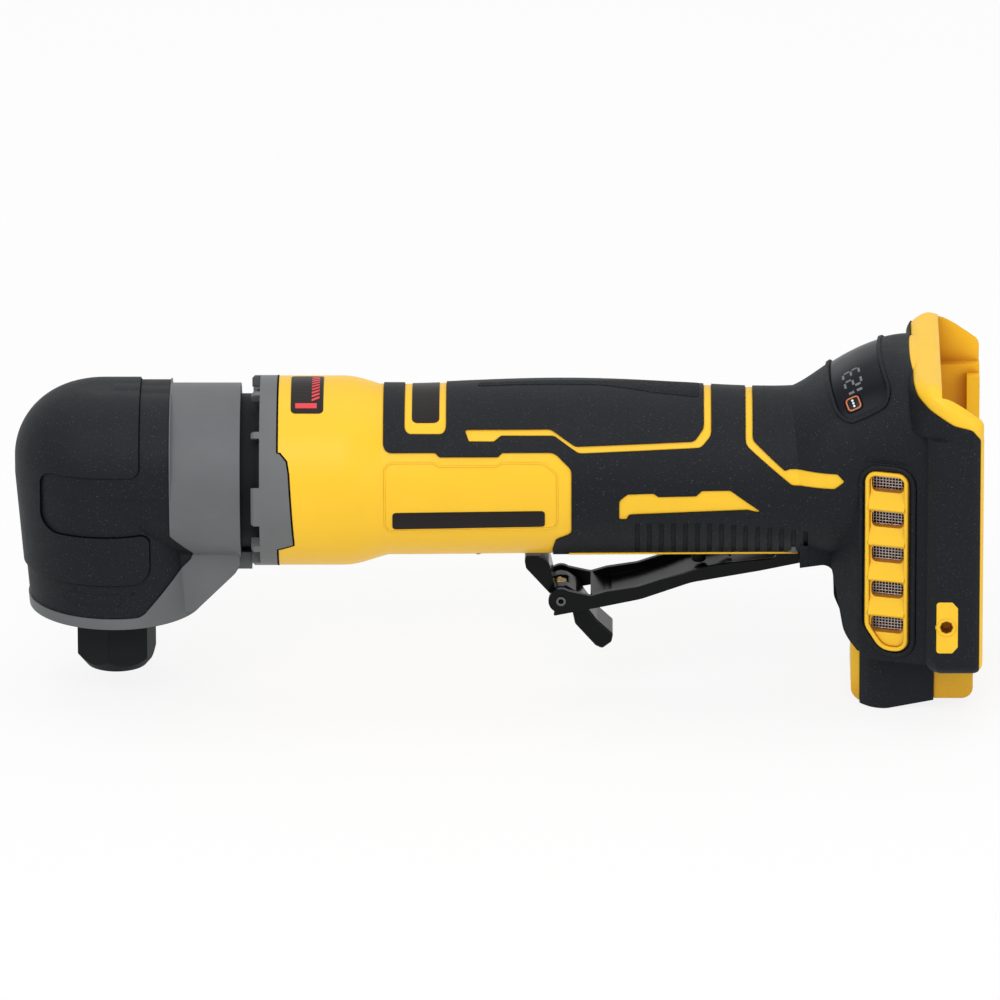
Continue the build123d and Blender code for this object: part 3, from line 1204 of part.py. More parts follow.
lock_arm = rounded_face((127.6, -20, 0), (126.3, -27.4, 0.5), (126.7, -29.7, 1), (134.2, -38.2, 1),
                        (138.5, -41, 0), (139.5, -37, 0), (135.6, -36.2, 1), (133.8, -27.9, 0.8),
                        (131, -26.3, 0), (130.6, -20, 0))
lock_tab = rounded_face((135.2, -38.5, 1.2), (137.6, -42, 1.2), (140.8, -43.4, 0.9), (141.8, -48.2, 1.6),
                        (148.1, -55.4, 1.6), (150.2, -56.4, 1.2), (153.1, -54.2, 1.2), (153.6, -51.6, 1.2),
                        (148.6, -46.9, 3), (145.2, -42.2, 3), (142.2, -37.6, 2), (138.6, -35.2, 1.5))
with BuildPart() as lock_blade:
    with BuildSketch(SIDE):
        add(lock_tab)
    extrude(amount=LOCK_HALF, both=True)
    fillet(lock_blade.faces().filter_by(Axis.Y).edges(), LOCK_EDGE)
with BuildPart() as lock_off_tab:
    with BuildSketch(SIDE):
        add(lock_arm)
        with Locations((LOCK_PIN_X, -LOCK_PIN_DROP)):
            Circle(LOCK_HUB_R)
    extrude(amount=LOCK_HALF, both=True)
    add(lock_blade.part)
    add(housing_body(LOCK_GAP), mode=Mode.SUBTRACT)
    add(cross_bar(LOCK_PIN_X, -LOCK_PIN_DROP, LOCK_HUB_R + MOVE_GAP, LOCK_FORK_HALF), mode=Mode.SUBTRACT)
    add(cross_bar(LOCK_PIN_X, -LOCK_PIN_DROP, LOCK_PIN_R + PIN_FIT, 20), mode=Mode.SUBTRACT)
hand_in(lock_off_tab, "lock_off_tab")

with BuildPart() as lock_off_spring:
    with BuildLine() as coil:
        Helix(LOCK_SPRING_PITCH, 2 * LOCK_SPRING_HALF, LOCK_SPRING_R, direction=(0, 1, 0),
              center=(LOCK_PIN_X, -LOCK_SPRING_HALF, DRIVE_Z - LOCK_PIN_DROP))
    with BuildSketch(Plane(origin=coil.line @ 0, z_dir=coil.line % 0)):
        Circle(LOCK_SPRING_WIRE)
    sweep(path=coil.line, is_frenet=True)
hand_in(lock_off_spring, "lock_off_spring")

with BuildPart() as lever_return_spring:
    with BuildLine() as coil:
        Helix(RETURN_PITCH, SWITCH_LOW - RETURN_LOW - 2 * RETURN_WIRE - SKIN_FIT, RETURN_R,
              center=(RETURN_X, 0, DRIVE_Z + RETURN_LOW + RETURN_WIRE))
    with BuildSketch(Plane(origin=coil.line @ 0, z_dir=coil.line % 0)):
        Circle(RETURN_WIRE)
    sweep(path=coil.line, is_frenet=True)
hand_in(lever_return_spring, "lever_return_spring")
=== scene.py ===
"""Looks of the right-angle cordless die grinder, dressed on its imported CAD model.

Lengths are in metres. The outlines of thin pieces are written in millimetres.
"""
import json
import math

import bmesh
import bpy
from mathutils import Matrix, Vector
from mathutils.bvhtree import BVHTree
from mathutils.geometry import intersect_point_line


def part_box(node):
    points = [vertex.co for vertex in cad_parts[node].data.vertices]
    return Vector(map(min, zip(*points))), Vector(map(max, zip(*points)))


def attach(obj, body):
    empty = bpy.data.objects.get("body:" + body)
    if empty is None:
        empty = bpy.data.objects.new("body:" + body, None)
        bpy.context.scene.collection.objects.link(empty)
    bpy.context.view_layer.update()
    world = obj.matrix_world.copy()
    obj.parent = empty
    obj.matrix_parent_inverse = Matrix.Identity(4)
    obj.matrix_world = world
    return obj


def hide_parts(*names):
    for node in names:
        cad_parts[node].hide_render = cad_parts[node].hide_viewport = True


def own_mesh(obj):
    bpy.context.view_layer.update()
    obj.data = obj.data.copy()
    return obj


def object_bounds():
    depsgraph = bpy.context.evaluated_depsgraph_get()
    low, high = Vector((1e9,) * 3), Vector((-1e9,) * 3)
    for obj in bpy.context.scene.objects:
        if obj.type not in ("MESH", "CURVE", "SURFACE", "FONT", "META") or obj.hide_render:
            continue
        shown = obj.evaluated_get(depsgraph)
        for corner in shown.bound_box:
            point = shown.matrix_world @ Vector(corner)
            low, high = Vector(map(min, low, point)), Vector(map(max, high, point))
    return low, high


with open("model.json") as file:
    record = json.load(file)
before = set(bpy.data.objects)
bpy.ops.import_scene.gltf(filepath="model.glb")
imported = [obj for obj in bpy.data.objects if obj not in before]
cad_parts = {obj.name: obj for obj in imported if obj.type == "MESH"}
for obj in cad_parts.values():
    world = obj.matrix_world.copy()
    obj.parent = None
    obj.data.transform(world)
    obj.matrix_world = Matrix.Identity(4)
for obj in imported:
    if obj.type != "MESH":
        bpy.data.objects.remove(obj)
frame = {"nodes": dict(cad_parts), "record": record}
cad_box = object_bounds()
nodes = frame["nodes"]
scene = bpy.context.scene
MM = 0.001
SIDES = (("left", -1), ("right", 1))   # name of each side, and the sign of its y

# Camera, as the photograph was taken
FRAME_PIXELS = 1000.0
PIXELS_PER_MM = 3.244
ELEVATION = 20.5
AZIMUTH = 0.4
DISTANCE = 5.0
SENSOR_MM = 36.0
CLIP_START = 0.05
CLIP_END = 20.0
AXIS_HEIGHT = 0.063            # motor axis above the collet mouth
CENTRE_X = 0.1187              # the point of the motor axis in the middle column of the picture
AXIS_ROW = 470.0               # picture row of the motor axis


def look_at(target, roll):
    """The camera's matrix with a target in the middle of the picture, and its up direction."""
    azimuth = math.radians(AZIMUTH)
    elevation = math.radians(ELEVATION)
    level = Vector((math.cos(azimuth), math.sin(azimuth), 0.0))
    ahead = Vector((-math.sin(azimuth) * math.cos(elevation),
                    math.cos(azimuth) * math.cos(elevation),
                    -math.sin(elevation)))
    steep = level.cross(ahead)
    right = level * math.cos(roll) + steep * math.sin(roll)
    up = steep * math.cos(roll) - level * math.sin(roll)
    turn = Matrix((right, up, -ahead)).transposed()
    return Matrix.Translation(target - ahead * DISTANCE) @ turn.to_4x4(), up


def add_camera():
    """A camera rolled so that the motor axis is level in the picture."""
    roll = -math.atan(math.tan(math.radians(AZIMUTH)) * math.sin(math.radians(ELEVATION)))
    axis_point = Vector((CENTRE_X, 0.0, AXIS_HEIGHT))
    up = look_at(axis_point, roll)[1]
    below = (FRAME_PIXELS / 2 - AXIS_ROW) / PIXELS_PER_MM * MM
    data = bpy.data.cameras.new("camera")
    data.sensor_width = SENSOR_MM
    data.lens = PIXELS_PER_MM * DISTANCE / MM / FRAME_PIXELS * SENSOR_MM
    data.clip_start = CLIP_START
    data.clip_end = CLIP_END
    camera = bpy.data.objects.new("camera", data)
    camera.matrix_world = look_at(axis_point - up * below, roll)[0]
    scene.collection.objects.link(camera)
    scene.camera = camera


# Light and floor
FLOOR_GAP = 0.0004             # the floor lies this far below the object
FLOOR_Z = cad_box[0][2] - FLOOR_GAP
FLOOR_SIZE = 8.0
WHITE = (1.0, 1.0, 1.0, 1.0)
SEEN_WHITE = 1.0               # strength that the camera sees as white
WORLD_LIGHT = 0.5              # strength of the light from all round
LAMPS = (                      # name, place with x from the picture's middle, size, power
    ("key", (-0.5, -1.5, 1.5), (1.6, 1.2), 19.0),
    ("top", (0.1, 0.3, 1.6), (2.0, 1.4), 9.0),
    ("fill", (1.3, -1.1, 0.6), (1.0, 1.2), 6.0),
)


def add_area(name, place, target, size, power):
    """A soft rectangular lamp at a place, turned towards a target."""
    data = bpy.data.lights.new(name, "AREA")
    data.shape = "RECTANGLE"
    data.size, data.size_y = size
    data.energy = power
    light = bpy.data.objects.new(name, data)
    ahead = (Vector(target) - Vector(place)).normalized()
    light.rotation_euler = ahead.to_track_quat("-Z", "Y").to_euler()
    light.location = place
    scene.collection.objects.link(light)


def looked_at(tree):
    """1 for rays from the camera, and for those that a mirror or a glass sends on; 0 for light."""
    path = tree.nodes.new("ShaderNodeLightPath")
    value = path.outputs["Is Camera Ray"]
    for name in ("Is Glossy Ray", "Is Transmission Ray"):
        either = tree.nodes.new("ShaderNodeMath")
        either.operation = "MAXIMUM"
        tree.links.new(value, either.inputs[0])
        tree.links.new(path.outputs[name], either.inputs[1])
        value = either.outputs[0]
    return value


def add_world():
    """Soft light from all round, seen as white by the camera."""
    world = bpy.data.worlds.new("studio")
    scene.world = world
    world.use_nodes = True
    tree = world.node_tree
    tree.nodes.clear()
    out = tree.nodes.new("ShaderNodeOutputWorld")
    mix = tree.nodes.new("ShaderNodeMixShader")
    tree.links.new(looked_at(tree), mix.inputs["Fac"])
    for socket, strength in ((1, WORLD_LIGHT), (2, SEEN_WHITE)):
        background = tree.nodes.new("ShaderNodeBackground")
        background.inputs["Color"].default_value = WHITE
        background.inputs["Strength"].default_value = strength
        tree.links.new(background.outputs[0], mix.inputs[socket])
    tree.links.new(mix.outputs[0], out.inputs["Surface"])


def add_stage():
    """The floor, the light from all round and the lamps."""
    bpy.ops.mesh.primitive_plane_add(size=FLOOR_SIZE, location=(CENTRE_X, 0.0, FLOOR_Z))
    floor = bpy.context.object
    floor.name = "floor"
    floor.data.materials.append(floor_material())
    add_world()
    middle = (CENTRE_X, 0.0, AXIS_HEIGHT)
    for name, (x, y, z), size, power in LAMPS:
        add_area(name, (CENTRE_X + x, y, z), middle, size, power)


# Materials
SHADER_SAMPLES = 6             # rays for a rounded edge or a recess
RECESS_REACH = 0.022           # walls nearer than this make a recess
RECESS_START = 0.7             # painted shade in a recess begins at this open share of its surroundings
RECESS_END = 0.3               # and is darkest at this one
TONE_STOPS = (0.3, 0.7)        # noise values of the darkest and the lightest tone
TONE_DETAIL = 3.0
MOULDED_TONES = 60.0           # scale of the uneven colour, and of the uneven gloss below
MOULDED_GLOSS = 220.0
MOULDED_GLOSS_SPREAD = 0.05
GRAIN_ROUGHNESS = 0.6
SPECK_SCALE = 2600.0
SPECK_STOPS = (0.72, 0.82)
METAL_TONES = 90.0
METAL_SPREAD = 0.08
METAL_GLOSS = 400.0
METAL_GLOSS_SPREAD = 0.06


def start(name):
    """A new material, its node tree and its main shader."""
    material = bpy.data.materials.new(name)
    material.use_nodes = True
    tree = material.node_tree
    return material, tree, tree.nodes["Principled BSDF"]


def noise(tree, scale, detail=2.0, roughness=0.5):
    """A noise from 0 to 1 that stays with the object."""
    place = tree.nodes.new("ShaderNodeTexCoord")
    node = tree.nodes.new("ShaderNodeTexNoise")
    node.inputs["Scale"].default_value = scale
    node.inputs["Detail"].default_value = detail
    node.inputs["Roughness"].default_value = roughness
    tree.links.new(place.outputs["Object"], node.inputs["Vector"])
    return node.outputs["Fac"]


def ramp(tree, value, stops, low_colour, high_colour):
    """A value turned into a colour between two stops."""
    node = tree.nodes.new("ShaderNodeValToRGB")
    for element, stop, colour in zip(node.color_ramp.elements, stops, (low_colour, high_colour)):
        element.position = stop
        element.color = (*colour, 1.0)
    tree.links.new(value, node.inputs["Fac"])
    return node.outputs["Color"]


def lighten(tree, first, second):
    """The lighter of two colours."""
    node = tree.nodes.new("ShaderNodeMix")
    node.data_type = "RGBA"
    node.blend_type = "LIGHTEN"
    node.inputs["Factor"].default_value = 1.0
    tree.links.new(first, node.inputs["A"])
    tree.links.new(second, node.inputs["B"])
    return node.outputs["Result"]


def painted_recess_shade(tree, tone, recess_shade):
    """Painted shade: the colour turned towards a darker one in recesses, standing in for shade and for light
    bounced between coloured walls.
    """
    room = tree.nodes.new("ShaderNodeAmbientOcclusion")
    room.samples = SHADER_SAMPLES
    room.inputs["Distance"].default_value = RECESS_REACH
    mix = tree.nodes.new("ShaderNodeMix")
    mix.data_type = "RGBA"
    mix.inputs["B"].default_value = (*recess_shade, 1.0)
    tree.links.new(tone, mix.inputs["A"])
    closed = tree.nodes.new("ShaderNodeMapRange")
    closed.inputs["From Min"].default_value = RECESS_START
    closed.inputs["From Max"].default_value = RECESS_END
    tree.links.new(room.outputs["AO"], closed.inputs["Value"])
    tree.links.new(closed.outputs["Result"], mix.inputs["Factor"])
    return mix.outputs["Result"]


def shade(colour, factor):
    """A colour made darker or lighter."""
    return tuple(channel * factor for channel in colour)


def uneven_tone(tree, colour, spread, scale):
    """A colour that is a little darker and lighter from place to place."""
    return ramp(tree, noise(tree, scale, TONE_DETAIL), TONE_STOPS,
                shade(colour, 1 - spread), shade(colour, 1 + spread))


def uneven_gloss(tree, shader, roughness, spread, scale):
    """Gives the shader a roughness that differs a little from place to place."""
    node = tree.nodes.new("ShaderNodeMapRange")
    node.inputs["To Min"].default_value = roughness - spread
    node.inputs["To Max"].default_value = roughness + spread
    tree.links.new(noise(tree, scale), node.inputs["Value"])
    tree.links.new(node.outputs["Result"], shader.inputs["Roughness"])


def bump(tree, shader, height, depth, edge):
    """Surface relief of a depth in metres; edge rounds the sharp edges of the solid by a radius."""
    node = tree.nodes.new("ShaderNodeBump")
    node.inputs["Strength"].default_value = 1.0
    node.inputs["Distance"].default_value = depth
    tree.links.new(height, node.inputs["Height"])
    if edge:
        soft = tree.nodes.new("ShaderNodeBevel")
        soft.samples = SHADER_SAMPLES
        soft.inputs["Radius"].default_value = edge
        tree.links.new(soft.outputs["Normal"], node.inputs["Normal"])
    tree.links.new(node.outputs["Normal"], shader.inputs["Normal"])


def moulded(name, colour, roughness, grain, depth, edge=0.0004, spread=0.06, specular=0.5, specks=0.0,
            recess_shade=None):
    """A moulded plastic or rubber: uneven colour and gloss, a fine grain, pale specks, and painted shade that
    darkens its recesses.
    """
    material, tree, shader = start(name)
    tone = uneven_tone(tree, colour, spread, MOULDED_TONES)
    if specks:
        pale = (specks, specks, specks)
        speck = ramp(tree, noise(tree, SPECK_SCALE, 0.0), SPECK_STOPS, (0.0, 0.0, 0.0), pale)
        tone = lighten(tree, tone, speck)
    # painted shade: recesses turn towards a darker colour
    if recess_shade:
        tone = painted_recess_shade(tree, tone, recess_shade)
    tree.links.new(tone, shader.inputs["Base Color"])
    uneven_gloss(tree, shader, roughness, MOULDED_GLOSS_SPREAD, MOULDED_GLOSS)
    shader.inputs["Specular IOR Level"].default_value = specular
    bump(tree, shader, noise(tree, grain, roughness=GRAIN_ROUGHNESS), depth, edge)
    return material


def metal(name, colour, roughness, grain, depth, edge=0.0003):
    """A metal with fine tool marks."""
    material, tree, shader = start(name)
    shader.inputs["Metallic"].default_value = 1.0
    tree.links.new(uneven_tone(tree, colour, METAL_SPREAD, METAL_TONES), shader.inputs["Base Color"])
    uneven_gloss(tree, shader, roughness, METAL_GLOSS_SPREAD, METAL_GLOSS)
    bump(tree, shader, noise(tree, grain), depth, edge)
    return material


FLOOR_GLOW = 0.85              # share of plain white in what is seen of the floor
FLOOR_TONES = 3.0
FLOOR_GREYS = ((0.9, 0.9, 0.9), (0.92, 0.92, 0.92))
FLOOR_ROUGHNESS = 0.9
FLOOR_SPECULAR = 0.1


def floor_material():
    """A pale matt floor that looks white and keeps the shadow."""
    material, tree, shader = start("pale_floor")
    tone = ramp(tree, noise(tree, FLOOR_TONES), TONE_STOPS, *FLOOR_GREYS)
    tree.links.new(tone, shader.inputs["Base Color"])
    shader.inputs["Roughness"].default_value = FLOOR_ROUGHNESS
    shader.inputs["Specular IOR Level"].default_value = FLOOR_SPECULAR
    white = tree.nodes.new("ShaderNodeEmission")
    white.inputs["Strength"].default_value = SEEN_WHITE
    share = tree.nodes.new("ShaderNodeMath")
    share.operation = "MULTIPLY"
    share.inputs[1].default_value = FLOOR_GLOW
    tree.links.new(looked_at(tree), share.inputs[0])
    mix = tree.nodes.new("ShaderNodeMixShader")
    tree.links.new(share.outputs[0], mix.inputs["Fac"])
    tree.links.new(shader.outputs[0], mix.inputs[1])
    tree.links.new(white.outputs[0], mix.inputs[2])
    tree.links.new(mix.outputs[0], tree.nodes["Material Output"].inputs["Surface"])
    return material


# Finishes: colour, roughness, and the scale and depth of the grain
YELLOW = (0.92, 0.545, 0.02)
# painted shade: the colour that recesses of the yellow plastic turn towards, standing in for shade and
# bounced light
RECESS_SHADE_YELLOW = (0.5, 0.17, 0.004)
BLACK = (0.0045, 0.0062, 0.0088)
INK_GRAIN = 700.0
INK_DEPTH = 0.000005
INK_EDGE = 0.0001


def ink(name, colour, roughness, specular=0.5):
    """A thin smooth film or print."""
    return moulded(name, colour, roughness, INK_GRAIN, INK_DEPTH, edge=INK_EDGE, specular=specular)


finishes = {                   # by the record's slots; the orange slot's button is black with an orange print
    # the yellow plastic carries painted shade in its recesses
    "yellow_plastic": moulded("yellow_plastic", YELLOW, 0.42, 1500.0, 0.00003, spread=0.02, specular=0.35,
                              recess_shade=RECESS_SHADE_YELLOW),
    "black_rubber": moulded("black_rubber", BLACK, 0.6, 1700.0, 0.0001, spread=0.1, specular=0.2,
                            specks=0.05),
    "grey_plastic": moulded("grey_plastic", (0.14, 0.145, 0.148), 0.5, 1600.0, 0.00004, specular=0.25),
    "black_plastic": moulded("black_plastic", (0.006, 0.0062, 0.007), 0.45, 1500.0, 0.00003, specular=0.25),
    "gloss_black_plastic": moulded("gloss_black_plastic", (0.006, 0.0075, 0.011), 0.3, 300.0, 0.000004,
                                   specular=0.09),
    "orange_plastic": moulded("button_black", (0.005, 0.006, 0.009), 0.3, 600.0, 0.000006, specular=0.16),
    "cast_aluminium": moulded("cast_aluminium", (0.125, 0.132, 0.137), 0.5, 900.0, 0.00005, specular=0.22),
    "black_steel": moulded("black_steel", (0.0035, 0.004, 0.0045), 0.22, 700.0, 0.000008, specular=0.11),
    "steel": metal("steel", (0.55, 0.55, 0.56), 0.3, 1200.0, 0.00001),
    "copper": metal("copper", (0.6, 0.26, 0.12), 0.35, 900.0, 0.00003),
    "brass": metal("brass", (0.55, 0.38, 0.17), 0.34, 900.0, 0.00001),
    "wire_insulation": moulded("wire_insulation", (0.4, 0.03, 0.02), 0.4, 800.0, 0.00001),
}
extras = {                     # finishes that are no slot of the record
    "label_film": ink("label_film", (0.016, 0.013, 0.0125), 0.4, specular=0.12),
    "red_print": ink("red_print", (0.7, 0.02, 0.03), 0.35),
    "grey_print": ink("grey_print", (0.12, 0.125, 0.14), 0.3),
    "orange_print": ink("orange_print", (0.6, 0.14, 0.03), 0.35),
    "white_print": ink("white_print", (0.85, 0.85, 0.85), 0.35),
    "woven_wire": metal("woven_wire", (0.72, 0.68, 0.65), 0.4, 1500.0, 0.00001, edge=0.0),
    "dark_steel": metal("dark_steel", (0.12, 0.12, 0.125), 0.35, 1200.0, 0.00001),
    "blackened_nut": moulded("blackened_nut", (0.014, 0.016, 0.018), 0.5, 900.0, 0.00002, specular=0.04),
    "rough_rubber": moulded("rough_rubber", shade(BLACK, 0.8), 0.75, 1100.0, 0.0006, spread=0.25,
                            specular=0.2, specks=0.06),
    "seam_shadow": moulded("seam_shadow", (0.002, 0.002, 0.0022), 0.7, 900.0, 0.00002, edge=0.0,
                           specular=0.03),
}
NODE_EXTRAS = {                # nodes that look different from the rest of their slot
    "lever_pivot_pin": "dark_steel",
    "lock_off_pin": "dark_steel",
    "lever_return_spring": "dark_steel",
    "collet_nut": "blackened_nut",
    "motor_neck": "blackened_nut",
}


def dress_nodes():
    """Gives each CAD node the finish of its slot in the record, or one of its own."""
    slots = {entry["node"]: entry["material_slot"] for entry in frame["record"]["subparts"]}
    for name, node in nodes.items():
        finish = extras[NODE_EXTRAS[name]] if name in NODE_EXTRAS else finishes[slots[name]]
        node.data.materials.clear()
        node.data.materials.append(finish)


# Places on the CAD surfaces
REACH = 0.08                   # rays start this far out
WRAP_RADIUS = 0.0297           # heights on the barrel are arc lengths on this radius


def surface(*names):
    """A search tree over the surfaces of some nodes."""
    points = []
    faces = []
    for name in names:
        mesh = nodes[name].data
        first = len(points)
        points += [vertex.co.copy() for vertex in mesh.vertices]
        faces += [[first + index for index in polygon.vertices] for polygon in mesh.polygons]
    return BVHTree.FromPolygons(points, faces)


def cast(tree, origin, direction):
    """Where a ray meets the surface, and the surface's outward normal there."""
    hit, normal, _, _ = tree.ray_cast(origin, direction)
    if hit is not None and normal.dot(direction) > 0:
        normal = -normal
    return hit, normal


def on_side(tree, side):
    """Places (x, height above the motor axis) on the left (-1) or right (1) side."""
    def place(x, height):
        return cast(tree, Vector((x, side * REACH, AXIS_HEIGHT + height)), Vector((0.0, -side, 0.0)))
    return place


def outward(arc):
    """The direction away from the motor axis at an arc length from the left side's middle."""
    angle = arc / WRAP_RADIUS
    return Vector((0.0, -math.cos(angle), math.sin(angle)))


def round_barrel(tree):
    """Places (x, arc length from the left side's middle) on a surface round the motor axis."""
    def place(x, arc):
        out = outward(arc)
        return cast(tree, Vector((x, 0.0, AXIS_HEIGHT)) + out * REACH, -out)
    return place


def on_cylinder(radius):
    """Places (x, arc length from the left side's middle) on a cylinder round the motor axis."""
    def place(x, arc):
        out = outward(arc)
        return Vector((x, 0.0, AXIS_HEIGHT)) + out * radius, out
    return place


def on_plane(tree, origin, along, across):
    """Places (along, across) seen square to a plane, from above it."""
    normal = along.cross(across)

    def place(u, v):
        return cast(tree, origin + along * u + across * v + normal * REACH, -normal)
    return place


def between(place, first, last):
    """Places straight across from one column of a surface to another."""
    def bridged(x, height):
        start_hit, normal = place(first, height)
        end_hit = place(last, height)[0]
        return start_hit.lerp(end_hit, (x - first) / (last - first)), normal
    return bridged


# Outlines
STEP = 0.002                   # longest step along a straight edge
ARC_STEPS = 6


def in_steps(points):
    """Points at most a step apart on the lines from each point to the next, without the last point."""
    dense = []
    for first, last in zip(points, points[1:]):
        pieces = max(1, math.ceil((last - first).length / STEP))
        dense += [first.lerp(last, k / pieces) for k in range(pieces)]
    return dense


def rounded(*corners):
    """A closed outline through (u, v, radius) corners in millimetres: short steps and arcs, in metres."""
    points = []
    for i, (u, v, radius) in enumerate(corners):
        here = Vector((u, v))
        if not radius:
            points.append(here * MM)
            continue
        back = (Vector(corners[i - 1][:2]) - here).normalized()
        on = (Vector(corners[(i + 1) % len(corners)][:2]) - here).normalized()
        half = back.angle(on) / 2
        cut = radius / math.tan(half)
        centre = here + (back + on).normalized() * (radius / math.sin(half))
        first = here + back * cut - centre
        last = here + on * cut - centre
        turn = first.angle_signed(last)
        for k in range(ARC_STEPS + 1):
            spin = Matrix.Rotation(-turn * k / ARC_STEPS, 2)
            points.append((centre + spin @ first) * MM)
    return in_steps(points + points[:1])


def rectangle(left, low, right, high, radius=0):
    """The outline of a rectangle in millimetres, with its corners rounded by a radius."""
    return rounded((left, low, radius), (right, low, radius), (right, high, radius), (left, high, radius))


def span(outline, u):
    """Lowest and highest point of an outline on the line across it at u."""
    crossings = []
    for first, last in zip(outline, outline[1:] + outline[:1]):
        if first.x != last.x and min(first.x, last.x) <= u <= max(first.x, last.x):
            crossings.append(first.y + (last.y - first.y) * (u - first.x) / (last.x - first.x))
    return min(crossings), max(crossings)


# Thin pieces that lie on the CAD surfaces
SINK = 0.0001                  # thin pieces reach this far below the surface
BEAD_TOP = 0.28                # half of a bead's flat top, as a share of the bead's width
DECIMALS = 7                   # columns of a plate are told apart by this many decimals of a metre
MERGE = 1e-7                   # points nearer than this are one


def finish_piece(name, mesh, finish, body):
    """Turns a bmesh into a piece that rides on a body."""
    data = bpy.data.meshes.new(name)
    bmesh.ops.recalc_face_normals(mesh, faces=mesh.faces)
    mesh.to_mesh(data)
    mesh.free()
    data.materials.append(finish)
    piece = bpy.data.objects.new(name, data)
    scene.collection.objects.link(piece)
    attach(piece, body)
    return piece


def join(mesh, rings, closed=False, smooth=False):
    """Faces from each ring of points to the next: a bar with two flat ends, or a closed loop."""
    sides = len(rings[0])
    for here, on in zip(rings, rings[1:] + rings[:1] if closed else rings[1:]):
        for k in range(sides):
            face = mesh.faces.new((here[k], on[k], on[(k + 1) % sides], here[(k + 1) % sides]))
            face.smooth = smooth
    if not closed:
        mesh.faces.new(rings[0])
        mesh.faces.new(rings[-1])


def plate(name, outlines, place, lift, finish, body="body"):
    """Thin plates laid on a surface, standing above it by a lift."""
    mesh = bmesh.new()
    for outline in outlines:
        marks = sorted({round(point.x, DECIMALS) for point in outline})
        heights = [point.y for point in outline]
        rows = max(2, math.ceil((max(heights) - min(heights)) / STEP))
        columns = []
        for u in marks:
            low, high = span(outline, min(max(u, marks[0] + MERGE), marks[-1] - MERGE))
            spots = [place(u, low + (high - low) * k / rows) for k in range(rows + 1)]
            columns.append([[mesh.verts.new(hit + normal * height) for hit, normal in spots]
                            for height in (lift, -SINK)])
        for left, right in zip(columns, columns[1:]):
            for near, far in zip(left, right):
                for k in range(rows):
                    mesh.faces.new((near[k], far[k], far[k + 1], near[k + 1]))
            for k in (0, rows):
                mesh.faces.new((left[0][k], right[0][k], right[1][k], left[1][k]))
        for top, bottom in (columns[0], columns[-1]):
            for k in range(rows):
                mesh.faces.new((top[k], top[k + 1], bottom[k + 1], bottom[k]))
    bmesh.ops.remove_doubles(mesh, verts=mesh.verts, dist=MERGE)
    finish_piece(name, mesh, finish, body)


def bead(name, outlines, width, place, lift, finish, body="body", sink=SINK):
    """Raised lines along closed outlines on a surface, with sloping sides."""
    section = ((-0.5, -sink), (-BEAD_TOP, lift), (BEAD_TOP, lift), (0.5, -sink))
    mesh = bmesh.new()
    for outline in outlines:
        spots = [place(point.x, point.y) for point in outline]
        rings = []
        for i, (hit, normal) in enumerate(spots):
            along = spots[(i + 1) % len(spots)][0] - spots[i - 1][0]
            out = along.cross(normal).normalized()
            rings.append([mesh.verts.new(hit + out * width * share + normal * height)
                          for share, height in section])
        join(mesh, rings, closed=True, smooth=True)
    finish_piece(name, mesh, finish, body)


# Plates and lines on the barrel, by (x, arc) outlines
LABEL = rectangle(54.6, 29.4, 64.6, 52.0, 1.5)
LABEL_LIFT = 0.00015
WIDE_BAR = rectangle(56.0, 31.4, 62.6, 33.5)
THIN_BARS = 9                  # slanted bars above the wide one
THIN_BAR_X = (61.0, 63.4)
THIN_BAR_START = 34.4
THIN_BAR_PITCH = 1.8
THIN_BAR_RISE = 1.4            # from the front end to the rear end
THIN_BAR_HEIGHT = 1.0
BARS_LIFT = 0.00022
MOTOR_LABEL = rounded((91.8, 27.6, 1.8), (100.2, 27.6, 1.8), (100.2, 56.0, 1.0), (91.8, 56.0, 1.0))
SIDE_STRIP = rectangle(85.8, -12.3, 132.6, -5.2, 1.2)
PLATE_LIFT = 0.0002            # of the motor label and the side strip
BORDER = rounded((83.4, -13.4, 3.0), (83.4, 12.9, 3.0), (98.6, 12.9, 1.0), (100.2, 11.7, 1.0),
                 (117.6, 11.7, 1.0), (119.4, 12.9, 1.0), (132.2, 12.9, 4.0), (136.4, 9.0, 3.0),
                 (136.4, -13.4, 3.0))
BORDER_WIDTH = 0.0007
BORDER_LIFT = 0.00025


def thin_bar(index):
    """The outline of one slanted bar."""
    front, rear = THIN_BAR_X
    low = THIN_BAR_START + THIN_BAR_PITCH * index
    return rounded((front, low, 0), (rear, low + THIN_BAR_RISE, 0),
                   (rear, low + THIN_BAR_RISE + THIN_BAR_HEIGHT, 0), (front, low + THIN_BAR_HEIGHT, 0))


def add_barrel_plates():
    barrel = round_barrel(surface("left_housing", "right_housing", "left_grip_overmould",
                                  "right_grip_overmould"))
    bars = [WIDE_BAR] + [thin_bar(i) for i in range(THIN_BARS)]
    plate("front_label", [LABEL], barrel, LABEL_LIFT, extras["label_film"])
    plate("front_label_bars", bars, barrel, BARS_LIFT, extras["red_print"])
    plate("motor_label", [MOTOR_LABEL], barrel, PLATE_LIFT, extras["label_film"])
    bead("side_plate_border", [BORDER], BORDER_WIDTH, barrel, BORDER_LIFT, finishes["yellow_plastic"])
    plate("side_strip", [SIDE_STRIP], barrel, PLATE_LIFT, extras["label_film"])


# Painted shadow of the gap between the exhaust ring and the barrel: a dark line round the ring's two side
# tabs
RING_SEAM = ((50.5, 15.9), (51.4, 15.7), (53.4, 13.2), (54.0, 9.3), (55.5, -16.6), (51.4, -18.6),
             (50.5, -18.8))            # (x, arc) corners of the left tab, in millimetres
RING_SEAM_WIDTH = 0.0009
RING_SEAM_LIFT = 0.00005
RING_SEAM_SINK = 0.0005        # the barrel's surface lies within this of the ring's


